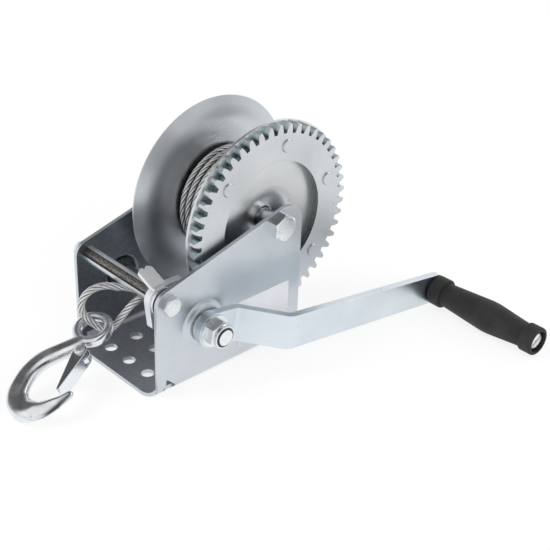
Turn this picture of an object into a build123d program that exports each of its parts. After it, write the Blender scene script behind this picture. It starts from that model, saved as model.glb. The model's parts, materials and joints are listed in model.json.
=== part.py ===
from build123d import *
import os
from math import asin, atan2, ceil, cos, degrees, hypot, pi, radians, sin, sqrt, tan

os.makedirs("parts", exist_ok=True)

# Bent channel frame
sheet = 3.0
frame_width = 96.0
base_length = 142.0
bend_radius = 4.0
edge_margin = 11.0
rear_corner_radius = 16.0
foot_height = 7.5
front_corner_run = 9.0

# Mounting holes in the base
base_hole_radius = 4.8
base_hole_spacing = 22.0
base_hole_margin = 17.0
second_row_step = 24.0

# Pressed darts that stiffen the bends
dart_y = -54.3
dart_width = 10.0
dart_leg = 4.2
dart_side = 1.0
dent_height = 12.5
dent_run = 4.5
dent_rear_height = 6.0

# Places of the drum axle and the spacer bolt
axle_y = 48.0
axle_z = 100.5
spacer_y = -54.0
spacer_z = 73.5

# Gear and pinion
module = 3.0
gear_teeth = 48
pinion_teeth = 12
pressure_angle = 20.0
tooth_shift = 0.3
tooth_play = 0.35
centre_play = 0.2
mesh_angle = 217.1
gear_thickness = 6.0
gear_side_gap = 4.0
ring_hole_radius = 46.5
pinion_width = 8.0
pinion_side_gap = 0.8

# Rivets that hold the toothed ring to the drum
rivet_count = 6
rivet_circle_radius = 58.0
rivet_radius = 3.0
rivet_head_radius = 5.3
rivet_head_height = 1.1
rivet_crown_share = 0.86
rivet_angle = 18.0

# Drum of two drawn halves on a sleeve
drum_sheet = 2.0
near_rim_radius = 75.5
far_rim_radius = 74.2
drum_width = 62.0
far_flare = 7.5
far_flare_radius = 60.0
far_lean = 3.5
flare_bend = 40.0
dish_radius = 20.0
dish_depth = 4.0
dish_bend = 36.0
funnel_radius = 15.0
funnel_bend = 10.0
neck_bend = 3.0
neck_gap = 0.05
neck_meeting = 2.0
sleeve_radius = 7.2
sleeve_end_gap = 0.4

# Drum axle bolt and its nut
axle_radius = 6.0
running_gap = 0.05
hole_gap = 0.2
axle_head_flats = 18.5
axle_head_turn = 30.0
axle_head_height = 7.5
axle_nut_height = 10.5
axle_washer_radius = 12.0
axle_washer_thickness = 2.5
bolt_tail = 3.0

# Spacer bolt, its nut, tube and sleeve
spacer_bolt_radius = 4.0
spacer_head_flats = 13.0
spacer_head_height = 5.3
spacer_nut_height = 6.5
tube_radius = 6.0
tube_wall = 1.5
tube_seam = 6.5
tube_seam_angle = 135.0

# Reversible pawl that drops between the pinion's teeth
pawl_thickness = 6.0
pawl_inset = 5.5
pawl_side_gap = 0.3
pawl_hub_radius = 10.6
pawl_collar_radius = 9.8
pawl_collar_length = 2.1
pawl_arm_width = 7.6
pawl_arm_length = 19.0
pawl_arm_lean = 4.0
pawl_heel_length = 25.6
pawl_swing = 8.0
pawl_tip_gap = 0.4
pawl_tip_angle = 35.0
pawl_washer_radius = 11.2
pawl_washer_thickness = 1.6
tab_width = 12.0
tab_length = 17.0
tab_rise = 7.0
tab_thickness = 3.0
tab_base_height = 7.5
tab_notch_radius = 1.6

# Pinion shaft, its bushes and the pressed bosses
shaft_radius = 8.0
bush_radius = 10.0
bush_flange_radius = 12.2
bush_flange_thickness = 1.4
boss_height = 3.0
boss_foot_radius = 19.5
boss_foot_sink = 0.1
boss_foot_slope = 0.06
boss_lip_radius = 12.9
boss_lip_slope = 0.1
boss_recess_radius = 15.5
shaft_tail = 4.0
clip_thickness = 1.2
clip_groove = 1.0
clip_radius = 10.5
clip_opening = 8.0

# Crank
crank_angle = 8.9
crank_throw = 211.2
bar_thickness = 6.0
crank_hub_radius = 13.5
crank_tip_radius = 12.0
joggle_start = 22.5
joggle_end = 48.5
joggle_offset = 29.5
joggle_bend = 8.0
thrust_washer_thickness = 3.2
thrust_washer_radius = 12.0
thrust_gap = 0.3
thread_radius = 6.0
flat_half_width = 5.0
nut_washer_radius = 12.0
nut_washer_thickness = 1.2
nut_flats = 18.5
nut_turn = 20.0
nut_hex_height = 7.5
nut_collar_radius = 8.6
nut_collar_height = 3.0
nut_collar_root = 0.5
nut_ring_radius = 7.6
thread_tail = 1.0

# Grip and the bolt it turns on
grip_length = 101.0
grip_end_gap = 1.0
grip_collar_radius = 12.0
grip_collar_length = 11.0
grip_neck_radius = 9.5
grip_swell_radius = 12.9
grip_swell_share = 0.57
grip_swell_bend = 60.0
grip_end_radius = 11.3
grip_end_length = 12.0
grip_recess_radius = 8.6
grip_recess_depth = 6.0
grip_round = 1.5
grip_bolt_radius = 4.0
grip_head_radius = 7.2
grip_head_height = 4.0
grip_head_round = 2.4
grip_slot_width = 1.6
grip_slot_depth = 1.5
grip_slot_angle = 30.0
grip_bolt_tail = 1.0
grip_nut_flats = 13.0
grip_nut_height = 5.0

# Rope on the drum and the free rope
rope_diameter = 5.5
layer_radius = 39.0
layer_turns = 7
layer_gap = 0.55
soft_gap = 0.35
ferrule_wall = 1.1
ferrule_length = 20.0
ferrule_x = 11.0
ferrule_y = -31.0
ferrule_z = 60.3
ferrule_turn = 15.0
ferrule_grip_gap = 0.05
strand_gap = 0.5
strand_run = 5.5
rope_end_run = 1.5

# Hook and latch, in the hook's own plane
hook_x = -7.8
hook_y = -79.1
hook_rest_gap = 0.1
hook_tilt = 21.8
hook_turn = 12.0
hook_thickness = 9.5
hook_round = 1.2
hook_corner_share = 0.7
eye_ring_radius = 11.6
eye_wire_radius = 3.2
latch_pivot_u = 22.2
latch_pivot_w = 8.1
latch_inside = 10.2
latch_sheet = 1.4
latch_eye_radius = 5.0
latch_rivet_radius = 2.5
latch_rivet_head = 4.2
latch_rivet_head_height = 1.4
latch_lug_radius = 6.2
latch_pocket_radius = 5.0
latch_pocket_floor = 1.6
latch_wire = 0.8
latch_turns = 2
latch_pitch = 1.25
latch_coil_gap = 0.5
latch_toe = (18.4, 11.2)
latch_heel = (26.7, 13.9)
latch_nose = (56.0, 16.2)
latch_chin = (56.6, 11.3)
latch_throat = (26.0, 4.0)

# Sizes that follow from the values above
half_width = frame_width / 2
inner_face = half_width - sheet
base_front = -base_length / 2
base_rear = base_length / 2
plate_front = spacer_y - edge_margin
slant = atan2(axle_z - spacer_z, axle_y - spacer_y)
pitch_radius_gear = module * gear_teeth / 2
pitch_radius_pinion = module * pinion_teeth / 2
centre_distance = pitch_radius_gear + pitch_radius_pinion + centre_play
pinion_y = axle_y + centre_distance * cos(radians(mesh_angle))
pinion_z = axle_z + centre_distance * sin(radians(mesh_angle))
gear_face = inner_face - gear_side_gap
gear_back = gear_face - gear_thickness
near_flange_x = gear_back - drum_sheet / 2
far_rim_x = near_flange_x - drum_width
pinion_face = inner_face - pinion_side_gap
pinion_back = pinion_face - pinion_width
pawl_face = inner_face - pawl_inset
pawl_back = pawl_face - pawl_thickness
boss_face = half_width + boss_height
arm_back = boss_face + thrust_gap + thrust_washer_thickness
arm_face = arm_back + bar_thickness
grip_arm_back = arm_back + joggle_offset
grip_arm_face = grip_arm_back + bar_thickness
nut_back = arm_face + nut_washer_thickness
nut_face = nut_back + nut_hex_height + nut_collar_height
grip_start = grip_arm_face + grip_end_gap
grip_end = grip_start + grip_length
rope_radius = rope_diameter / 2


# Small makers of plain shapes along the X axis
def at_x(x, y, z):
    return Plane(origin=(x, y, z), x_dir=(0, 1, 0), z_dir=(1, 0, 0))


def rod(y, z, radius, x0, x1):
    return extrude(at_x(x0, y, z) * Circle(radius), x1 - x0)


def ring(y, z, outer, inner, x0, x1):
    return extrude(at_x(x0, y, z) * (Circle(outer) - Circle(inner)), x1 - x0)


def cone_x(y, z, radius0, radius1, x0, x1):
    return turned([(x0, 0), (x0, radius0), (x1, radius1), (x1, 0)], y, z)


def turned(points, y, z):
    return Pos(0, y, z) * revolve(make_face(Polyline(*points, close=True)), Axis.X)


def hexagon(y, z, flats, x0, x1, turn=0.0):
    outline = RegularPolygon(flats / 2, 6, major_radius=False, rotation=turn)
    return extrude(at_x(x0, y, z) * outline, x1 - x0)


def hex_head(y, z, flats, x0, x1, turn=0.0):
    corner = flats / sqrt(3)
    step = (corner - flats / 2) * 0.9
    side = 1 if x1 > x0 else -1
    clear = corner * 1.05
    chamfer = [(x0, 0), (x0, clear), (x1 - side * step, clear), (x1, flats / 2 - step * 0.4), (x1, 0)]
    return hexagon(y, z, flats, min(x0, x1), max(x0, x1), turn) & turned(chamfer, y, z)


def save(shape, name):
    export_step(shape, "parts/" + name + ".step")


# Paths for rope and springs
def biarc(start, start_way, end, end_way):
    chord = end - start
    both = start_way + end_way
    open_share = 1 - start_way.dot(end_way)
    along = chord.dot(both)
    reach = (sqrt(along ** 2 + 2 * open_share * chord.dot(chord)) - along) / (2 * open_share)
    first = start + start_way * reach
    second = end - end_way * reach
    middle = (first + second) * 0.5
    return [TangentArc(start, middle, tangent=start_way), TangentArc(middle, end, tangent=second - first)]


def coil_path(radius, pitch, turns, tail):
    climb = pitch / (2 * pi)

    def spot(angle):
        return Vector(radius * cos(angle), radius * sin(angle), climb * angle)

    def way(angle):
        return Vector(-radius * sin(angle), radius * cos(angle), climb).normalized()

    stops = [pi * n / 2 for n in range(4 * turns + 1)]
    edges = [Line(spot(0) - way(0) * tail, spot(0))]
    for a, b in zip(stops, stops[1:]):
        edges += biarc(spot(a), way(a), spot(b), way(b))
    edges.append(Line(spot(stops[-1]), spot(stops[-1]) + way(stops[-1]) * tail))
    return Wire(edges)


def tube_on(path, radius):
    section = Plane(origin=path @ 0, z_dir=path % 0) * Circle(radius)
    return sweep(section, path)


def least_gap(path, diameter, name):
    count = ceil(path.length / (diameter * 0.4))
    spots = [path @ (n / count) for n in range(count + 1)]
    step = path.length / count
    apart = ceil(4 * diameter / step)
    least = min((spots[i] - spots[j]).length for i in range(count + 1) for j in range(i + apart, count + 1))
    print(name, "length", round(path.length, 1), "least gap to itself", round(least - diameter, 2))


def bend_radii(points):
    vectors = [Vector(p) for p in points]
    runs = [(b - a).length for a, b in zip(vectors, vectors[1:])]
    radii = []
    for i in range(1, len(vectors) - 1):
        turn = radians((vectors[i] - vectors[i - 1]).get_angle(vectors[i + 1] - vectors[i]))
        radii.append(0.45 * min(runs[i - 1], runs[i]) / tan(turn / 2))
    return radii


# Frame: a channel trimmed to the outline of its side plates
def make_frame():
    outer = bend_radius + sheet
    top = axle_z + edge_margin * 4
    shell = RectangleRounded(frame_width, 2 * top, outer)
    hollow = RectangleRounded(2 * inner_face, 2 * (top - sheet), bend_radius)
    channel = Plane.XZ * (Pos(0, top) * (shell - hollow))
    body = extrude(channel, base_length / 2, both=True)
    rise = tan(slant)
    lift = edge_margin / cos(slant)
    front_top = spacer_z + lift + (plate_front - spacer_y) * rise
    rear_top = spacer_z + lift + (base_rear - spacer_y) * rise
    corners = [(plate_front, 0), (plate_front, front_top), (base_rear, rear_top), (base_rear, 0)]
    side = make_face(Polyline(*corners, close=True))
    side = fillet(side.vertices().sort_by(Axis.Y)[-1], rear_corner_radius)
    side = fillet(side.vertices().sort_by(Axis.X).filter_by_position(Axis.Y, 1, top * 2)[0], edge_margin)
    foot = Pos(0, foot_height / 2) * Rectangle(base_length, foot_height)
    body &= extrude(at_x(-half_width, 0, 0) * (side + foot), frame_width)
    run_start = inner_face - front_corner_run
    front_edge = Line((-run_start, base_front), (run_start, base_front))
    near_corner = TangentArc((run_start, base_front), (inner_face, plate_front), tangent=(1, 0))
    far_corner = TangentArc((-run_start, base_front), (-inner_face, plate_front), tangent=(-1, 0))
    back = Polyline((inner_face, plate_front), (half_width, plate_front), (half_width, base_rear),
                    (-half_width, base_rear), (-half_width, plate_front), (-inner_face, plate_front))
    body &= extrude(make_face(Curve() + [front_edge, near_corner, far_corner, back]), top)
    for sign in (-1, 1):
        flank = Spline(
            (sign * (half_width - boss_foot_sink), boss_foot_radius),
            (sign * boss_face, boss_lip_radius),
            tangents=[(sign * boss_foot_slope, -1), (sign * boss_lip_slope, -1)],
        )
        inside = sign * (half_width - sheet / 2)
        rest = Polyline((sign * boss_face, boss_lip_radius), (sign * boss_face, 0), (inside, 0),
                        (inside, boss_foot_radius), (sign * (half_width - boss_foot_sink), boss_foot_radius))
        boss = revolve(make_face(Curve() + [flank, rest]), Axis.X)
        body += Pos(0, pinion_y, pinion_z) * boss
        recess_end = inner_face + boss_height
        recess = (boss_recess_radius, bush_radius, sign * inner_face, sign * recess_end)
        body -= cone_x(pinion_y, pinion_z, *recess)
    body -= rod(pinion_y, pinion_z, bush_radius, -boss_face, boss_face)
    body -= rod(axle_y, axle_z, axle_radius + hole_gap, -half_width, half_width)
    body -= rod(spacer_y, spacer_z, spacer_bolt_radius + hole_gap, -half_width, half_width)
    for sign in (-1, 1):
        inner_corner = [(inner_face, sheet), (inner_face, sheet + dart_leg), (inner_face - dart_leg, sheet)]
        outer_corner = [(half_width, 0), (half_width, dent_height), (half_width - dent_run, 0)]
        rib = make_face(Polyline(*[(sign * x, z) for x, z in inner_corner], close=True))
        dent = make_face(Polyline(*[(sign * x, z) for x, z in outer_corner], close=True))
        body += Pos(0, dart_y, 0) * extrude(Plane.XZ * rib, dart_width / 2, both=True)
        half_dent = dart_width / 2 - dart_side
        slot = extrude(Plane.XZ * dent, half_dent, both=True)
        cut = [(-half_dent, 0), (dart_side - half_dent, dent_height), (half_dent, dent_rear_height), (half_dent, 0)]
        slot &= extrude(at_x(0, 0, 0) * make_face(Polyline(*cut, close=True)), half_width, both=True)
        body -= Pos(0, dart_y, 0) * slot
    front_row = base_front + base_hole_margin
    rear_row = base_rear - base_hole_margin
    for y in (front_row, front_row + second_row_step, rear_row):
        for x in (-base_hole_spacing, 0, base_hole_spacing):
            body -= Pos(x, y, sheet / 2) * Cylinder(base_hole_radius, 2 * sheet)
    return body


save(make_frame(), "frame")

# Drum axle bolt, washer and nut
axle_nut_back = -half_width - axle_washer_thickness
axle_nut_face = axle_nut_back - axle_nut_height
axle_bolt = rod(axle_y, axle_z, axle_radius, axle_nut_face - bolt_tail, half_width)
axle_head_face = half_width + axle_head_height
axle_bolt += hex_head(axle_y, axle_z, axle_head_flats, half_width, axle_head_face, axle_head_turn)
save(axle_bolt, "drum_axle_bolt")
axle_washer = ring(axle_y, axle_z, axle_washer_radius, axle_radius, axle_nut_back, -half_width)
save(axle_washer, "drum_axle_washer")
axle_nut = hex_head(axle_y, axle_z, axle_head_flats, axle_nut_back, axle_nut_face)
axle_nut -= rod(axle_y, axle_z, axle_radius, axle_nut_face, axle_nut_back)
save(axle_nut, "drum_axle_nut")

# Spacer bolt, nut, rolled tube and the pawl's sleeve
spacer_nut_face = -half_width - spacer_nut_height
spacer_bolt = rod(spacer_y, spacer_z, spacer_bolt_radius, spacer_nut_face - bolt_tail, half_width)
spacer_bolt += hex_head(spacer_y, spacer_z, spacer_head_flats, half_width, half_width + spacer_head_height)
save(spacer_bolt, "spacer_bolt")
spacer_nut = hex_head(spacer_y, spacer_z, spacer_head_flats, -half_width, spacer_nut_face)
spacer_nut -= rod(spacer_y, spacer_z, spacer_bolt_radius, spacer_nut_face, -half_width)
save(spacer_nut, "spacer_nut")
tube_end = pawl_back - pawl_side_gap
spacer_tube = ring(spacer_y, spacer_z, tube_radius, tube_radius - tube_wall, -inner_face, tube_end)
seam = Rot(0, 0, tube_seam_angle) * Pos(tube_radius, 0) * Rectangle(2 * tube_radius, tube_seam)
spacer_tube -= extrude(at_x(-inner_face, spacer_y, spacer_z) * seam, tube_end + inner_face)
save(spacer_tube, "spacer_tube")
washer_start = pawl_face + pawl_collar_length + pawl_side_gap
washer_end = washer_start + pawl_washer_thickness
pawl_washer = ring(spacer_y, spacer_z, pawl_washer_radius, spacer_bolt_radius, washer_start, washer_end)
save(pawl_washer, "pawl_washer")
pawl_sleeve = ring(spacer_y, spacer_z, tube_radius, spacer_bolt_radius, washer_end, inner_face)
save(pawl_sleeve, "pawl_sleeve")


# Bushes in the two bosses
def make_bush(sign):
    bush = ring(pinion_y, pinion_z, bush_radius, shaft_radius + running_gap, inner_face, boss_face)
    flange_end = inner_face + bush_flange_thickness
    bush += ring(pinion_y, pinion_z, bush_flange_radius, shaft_radius + running_gap, inner_face, flange_end)
    return bush if sign > 0 else mirror(bush, Plane.YZ)


save(make_bush(1), "pinion_bush_near")
save(make_bush(-1), "pinion_bush_far")


# Involute teeth, one tooth centred on the first angle
def gear_outline(teeth, shift, first_angle):
    pitch_radius = module * teeth / 2
    pressure = radians(pressure_angle)
    base_radius = pitch_radius * cos(pressure)
    tip = pitch_radius + module * (1 + shift)
    root = pitch_radius - module * (1.25 - shift)
    thick = module * (pi / 2 + 2 * shift * tan(pressure)) - tooth_play / 2

    def half_angle(radius):
        roll = sqrt(max((radius / base_radius) ** 2 - 1, 0))
        return thick / (2 * pitch_radius) + tan(pressure) - pressure - (roll - atan2(roll, 1))

    flank_start = max(base_radius, root)
    radii = [flank_start + (tip - flank_start) * share for share in (0, 0.35, 0.7, 1)]
    if root < base_radius:
        radii.insert(0, root)
    points = []
    for n in range(teeth):
        middle = radians(first_angle) + 2 * pi * n / teeth
        for radius in radii:
            angle = middle - half_angle(radius)
            points.append((radius * cos(angle), radius * sin(angle)))
        for radius in reversed(radii):
            angle = middle + half_angle(radius)
            points.append((radius * cos(angle), radius * sin(angle)))
    return make_face(Polyline(*points, close=True))


# Toothed ring with a gap facing the pinion, and its rivets
def rivet_spots():
    return PolarLocations(rivet_circle_radius, rivet_count, start_angle=rivet_angle)


half_tooth = 180 / gear_teeth
gear_face_outline = gear_outline(gear_teeth, -tooth_shift, mesh_angle + half_tooth)
gear_face_outline -= Circle(ring_hole_radius)
for spot in rivet_spots():
    gear_face_outline -= spot * Circle(rivet_radius)
save(extrude(at_x(gear_back, axle_y, axle_z) * gear_face_outline, gear_thickness), "drum_gear")

flange_back = gear_back - drum_sheet
rivet_profile = [
    (flange_back - rivet_head_height, 0),
    (flange_back - rivet_head_height, rivet_head_radius * rivet_crown_share),
    (flange_back, rivet_head_radius),
    (flange_back, rivet_radius),
    (gear_face, rivet_radius),
    (gear_face, rivet_head_radius),
    (gear_face + rivet_head_height, rivet_head_radius * rivet_crown_share),
    (gear_face + rivet_head_height, 0),
]
one_rivet = turned(rivet_profile, 0, 0)
rivets = []
for spot in rivet_spots():
    place = spot.position
    rivets.append(Pos(0, axle_y + place.X, axle_z + place.Y) * one_rivet)
save(Compound(children=rivets), "gear_rivets")


# Drum halves, spun from a bent strip
def drum_half(points, bends):
    strip = trace(FilletPolyline(*points, radius=bends), drum_sheet)
    return Pos(0, axle_y, axle_z) * revolve(strip, Axis.X)


neck_radius = sleeve_radius + neck_gap + drum_sheet / 2
dish_floor_x = near_flange_x - dish_depth
far_web_x = far_rim_x + far_flare + far_lean
near_points = [
    (near_flange_x, near_rim_radius),
    (near_flange_x, dish_radius),
    (dish_floor_x, neck_radius),
    (neck_meeting, neck_radius),
]
far_points = [
    (far_rim_x, far_rim_radius),
    (far_rim_x + far_flare, far_flare_radius),
    (far_web_x, funnel_radius),
    (neck_meeting - funnel_bend, neck_radius),
    (neck_meeting, neck_radius),
]
near_half = drum_half(near_points, [dish_bend, neck_bend])
for spot in rivet_spots():
    place = spot.position
    near_half -= rod(axle_y + place.X, axle_z + place.Y, rivet_radius, flange_back, gear_back)
save(near_half, "drum_near_half")
save(drum_half(far_points, [flare_bend, funnel_bend, neck_bend]), "drum_far_half")
sleeve_end = inner_face - sleeve_end_gap
drum_sleeve = ring(axle_y, axle_z, sleeve_radius, axle_radius + running_gap, -sleeve_end, sleeve_end)
save(drum_sleeve, "drum_sleeve")


# Rope on the drum: a plain core under one wound layer
def wall_x(points, radius, side):
    for (x0, r0), (x1, r1) in zip(points, points[1:]):
        if r1 <= radius <= r0:
            lean = hypot(x1 - x0, r1 - r0) / (r0 - r1)
            x = x0 + (x1 - x0) * (r0 - radius) / (r0 - r1)
            return x + side * lean * (drum_sheet / 2 + soft_gap)
    return points[-1][0]


core_radius = layer_radius - rope_radius - soft_gap
core_throat = funnel_radius + funnel_bend
core_floor = funnel_radius + drum_sheet / 2 + soft_gap
core_inset = funnel_bend + drum_sheet / 2
core_profile = [
    (far_web_x + core_inset, core_floor),
    (wall_x(far_points, core_throat, 1), core_throat),
    (wall_x(far_points, core_radius, 1), core_radius),
    (wall_x(near_points, core_radius, -1), core_radius),
    (wall_x(near_points, core_throat, -1) - dish_depth, core_throat),
    (near_flange_x - core_inset, core_floor),
]
save(turned(core_profile, axle_y, axle_z), "rope_core")
layer_pitch = rope_diameter + layer_gap
layer_path = coil_path(layer_radius, layer_pitch, layer_turns, rope_diameter)
least_gap(layer_path, rope_diameter, "rope layer")
web_lean = hypot(far_lean, far_flare_radius - funnel_radius) / (far_flare_radius - funnel_radius)
layer_start = wall_x(far_points, layer_radius, 1) + rope_radius * web_lean
layer_end = layer_start + layer_pitch * layer_turns
winding = Rot(0, 0, -90) * mirror(tube_on(layer_path, rope_radius), Plane.XY)
save(at_x(layer_end, axle_y, axle_z) * winding, "rope_winding")


# Pinion shaft with a double flat for the crank and a thread for its nut
def make_shaft():
    groove_end = -boss_face - thrust_gap
    groove_start = groove_end - clip_thickness
    shaft = rod(pinion_y, pinion_z, shaft_radius, -boss_face - shaft_tail, arm_back)
    shaft -= ring(pinion_y, pinion_z, shaft_radius, shaft_radius - clip_groove, groove_start, groove_end)
    flats = Circle(thread_radius) & Rectangle(2 * thread_radius, 2 * flat_half_width)
    shaft += extrude(at_x(arm_back, pinion_y, pinion_z) * (Rot(0, 0, -crank_angle) * flats), bar_thickness)
    shaft += rod(pinion_y, pinion_z, thread_radius, arm_face, nut_face + thread_tail)
    return shaft


save(make_shaft(), "pinion_shaft")
clip = Circle(clip_radius) - Circle(shaft_radius - clip_groove)
clip -= Pos(0, -clip_radius) * Rectangle(clip_opening, 2 * clip_radius)
clip_start = -boss_face - thrust_gap - clip_thickness
save(extrude(at_x(clip_start, pinion_y, pinion_z) * clip, clip_thickness), "shaft_clip")

# Pinion with a tooth facing the ring
pinion_face_outline = gear_outline(pinion_teeth, tooth_shift, mesh_angle - 180) - Circle(shaft_radius)
save(extrude(at_x(pinion_back, pinion_y, pinion_z) * pinion_face_outline, pinion_width), "pinion_gear")

# Crank: joggled flat bar, washers and lock nut
thrust_start = boss_face + thrust_gap
thrust_washer = ring(pinion_y, pinion_z, thrust_washer_radius, shaft_radius, thrust_start, arm_back)
save(thrust_washer, "thrust_washer")


def make_crank_arm():
    middle = arm_back + bar_thickness / 2
    line = FilletPolyline(
        (-crank_hub_radius, middle),
        (joggle_start, middle),
        (joggle_end, middle + joggle_offset),
        (crank_throw + crank_tip_radius, middle + joggle_offset),
        radius=joggle_bend,
    )
    strip = Plane.XZ * trace(line, bar_thickness)
    bar = extrude(strip, crank_hub_radius, both=True)
    tip = Pos(crank_throw, 0) * Circle(crank_tip_radius)
    plan = make_hull(Circle(crank_hub_radius).edges() + tip.edges())
    plan -= Circle(thread_radius) & Rectangle(2 * thread_radius, 2 * flat_half_width)
    plan -= Pos(crank_throw, 0) * Circle(grip_bolt_radius + hole_gap)
    bar &= extrude(Pos(0, 0, arm_back) * plan, joggle_offset + bar_thickness)
    return bar


crank_plane = Plane(
    origin=(0, pinion_y, pinion_z),
    x_dir=(0, cos(radians(crank_angle)), -sin(radians(crank_angle))),
    z_dir=(1, 0, 0),
)
save(crank_plane * make_crank_arm(), "crank_arm")
nut_washer = ring(pinion_y, pinion_z, nut_washer_radius, thread_radius, arm_face, nut_back)
save(nut_washer, "crank_washer")
collar_start = nut_back + nut_hex_height
crank_nut = hex_head(pinion_y, pinion_z, nut_flats, nut_back, collar_start, nut_turn)
crank_nut += rod(pinion_y, pinion_z, nut_collar_radius, collar_start - nut_collar_root, nut_face)
crank_nut -= rod(pinion_y, pinion_z, nut_ring_radius, collar_start, nut_face)
crank_nut -= rod(pinion_y, pinion_z, thread_radius, nut_back, nut_face)
save(crank_nut, "crank_nut")
save(ring(pinion_y, pinion_z, nut_ring_radius, thread_radius, collar_start, nut_face), "crank_nut_ring")

# Grip with its bolt and nut
grip_y = pinion_y + crank_throw * cos(radians(crank_angle))
grip_z = pinion_z - crank_throw * sin(radians(crank_angle))


def make_grip():
    bore = grip_bolt_radius + running_gap
    collar_end = grip_start + grip_collar_length
    end_start = grip_end - grip_end_length
    floor_x = grip_end - grip_recess_depth
    swell_x = collar_end + (end_start - collar_end) * grip_swell_share
    lines = [
        Polyline((collar_end, grip_neck_radius), (collar_end, grip_collar_radius),
                 (grip_start, grip_collar_radius), (grip_start, bore), (floor_x, bore),
                 (floor_x, grip_recess_radius), (grip_end, grip_recess_radius), (grip_end, grip_end_radius),
                 (end_start, grip_end_radius), (end_start, grip_neck_radius)),
        FilletPolyline((end_start, grip_neck_radius), (swell_x, grip_swell_radius),
                       (collar_end, grip_neck_radius), radius=grip_swell_bend),
    ]
    solid = revolve(make_face(Curve() + lines), Axis.X)
    outer_edges = solid.edges().filter_by(GeomType.CIRCLE)
    outer_edges = [e for e in outer_edges if e.radius > grip_neck_radius + 0.5]
    return Pos(0, grip_y, grip_z) * fillet(outer_edges, grip_round)


save(make_grip(), "grip")
head_start = grip_end - grip_recess_depth + thrust_gap
bolt_start = grip_arm_back - grip_nut_height - grip_bolt_tail
grip_bolt = rod(grip_y, grip_z, grip_bolt_radius, bolt_start, head_start)
grip_head = rod(grip_y, grip_z, grip_head_radius, head_start, head_start + grip_head_height)
grip_bolt += fillet(grip_head.edges().group_by(Axis.X)[-1], grip_head_round)
slot_plane = at_x(head_start + grip_head_height - grip_slot_depth, grip_y, grip_z)
slot_outline = Rot(0, 0, grip_slot_angle) * Rectangle(4 * grip_head_radius, grip_slot_width)
grip_bolt -= extrude(slot_plane * slot_outline, grip_slot_depth)
save(grip_bolt, "grip_bolt")
grip_nut = hex_head(grip_y, grip_z, grip_nut_flats, grip_arm_back, grip_arm_back - grip_nut_height)
grip_nut -= rod(grip_y, grip_z, grip_bolt_radius, grip_arm_back - grip_nut_height, grip_arm_back)
save(grip_nut, "grip_nut")


# Pawl: a hooked arm either side of the line to the pinion, a collar and a thumb tab
def make_pawl():
    reach = hypot(pinion_y - spacer_y, pinion_z - spacer_z)
    heading = degrees(atan2(pinion_z - spacer_z, pinion_y - spacer_y))
    tip_radius = pitch_radius_pinion + module * (1 + tooth_shift) + pawl_tip_gap
    tip_along = reach - tip_radius * cos(radians(pawl_tip_angle))
    tip_aside = tip_radius * sin(radians(pawl_tip_angle))
    tip_far = hypot(tip_along, tip_aside)
    tip_way = radians(degrees(atan2(tip_aside, tip_along)) + pawl_swing)
    arm_way = radians(45 - pawl_arm_lean)
    outline = Circle(pawl_hub_radius)
    for side in (1, -1):
        out = Vector(cos(arm_way), side * sin(arm_way))
        across = Vector(-out.Y, out.X) * side
        edge = across * pawl_hub_radius
        arm = Polyline(
            edge,
            edge + out * pawl_arm_length,
            across * (pawl_hub_radius * 0.45) + out * pawl_heel_length,
            (tip_far * cos(tip_way), side * tip_far * sin(tip_way)),
            across * (pawl_hub_radius - pawl_arm_width) + out * (pawl_arm_length * 0.9),
            across * (pawl_hub_radius - pawl_arm_width),
            close=True,
        )
        outline += make_face(arm)
    outline = Rot(0, 0, heading) * outline
    neck_top = tab_base_height + tab_thickness
    outline += Pos(0, neck_top / 2) * Rectangle(tab_width, neck_top)
    bore = Circle(spacer_bolt_radius + running_gap)
    pawl = extrude(at_x(pawl_back, 0, 0) * (outline - bore), pawl_thickness)
    pawl += extrude(at_x(pawl_face, 0, 0) * (Circle(pawl_collar_radius) - bore), pawl_collar_length)
    slope = hypot(tab_length, tab_rise)
    start = Vector(pawl_back + tab_thickness, 0, tab_base_height + tab_thickness / 2)
    way = Vector(-tab_length, 0, tab_rise) * (1 / slope)
    tab_plane = Plane(origin=start, x_dir=way, z_dir=(tab_rise, 0, tab_length))
    tongue = Pos(slope / 2, 0) * Rectangle(slope, tab_width)
    tongue = fillet(tongue.vertices().group_by(Axis.X)[-1], tab_width * 0.3)
    tongue -= Pos(slope, 0) * Circle(tab_notch_radius)
    pawl += extrude(tab_plane * tongue, tab_thickness / 2, both=True)
    return Pos(0, spacer_y, spacer_z) * pawl


save(make_pawl(), "pawl")

# Hook in its own plane: U down the hook, W towards the tip
tilt = radians(hook_tilt)
turn = radians(hook_turn)
hook_u = Vector(cos(tilt) * sin(turn), -cos(tilt) * cos(turn), -sin(tilt))
hook_w = Vector(cos(turn), sin(turn), 0)
hook_n = hook_u.cross(hook_w)
hook_sections = [
    (13, 0.5, -5, 5.8, 4.0),
    (26, -3.4, -36, 5.2, 4.6),
    (36.2, -13.2, -36, 4.4, hook_thickness / 2),
    (47, -18, -10, 4.5, hook_thickness / 2),
    (58, -17.6, 14, 4.8, hook_thickness / 2),
    (70, -12, 42, 6.0, hook_thickness / 2),
    (78.3, -0.8, 75, 7.6, hook_thickness / 2),
    (77.3, 8.5, 112, 7.4, hook_thickness / 2),
    (70.5, 14.3, 145, 5.2, 4.3),
    (61.5, 18, 154, 3.6, 3.5),
    (51, 23.2, 152, 1.9, 2.3),
]
hook_depth = 86.6
hook_z = hook_rest_gap + hook_depth * sin(tilt) + hook_thickness / 2 * cos(tilt)
hook_plane = Plane(origin=(hook_x, hook_y, hook_z), x_dir=hook_u, z_dir=hook_n)


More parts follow.
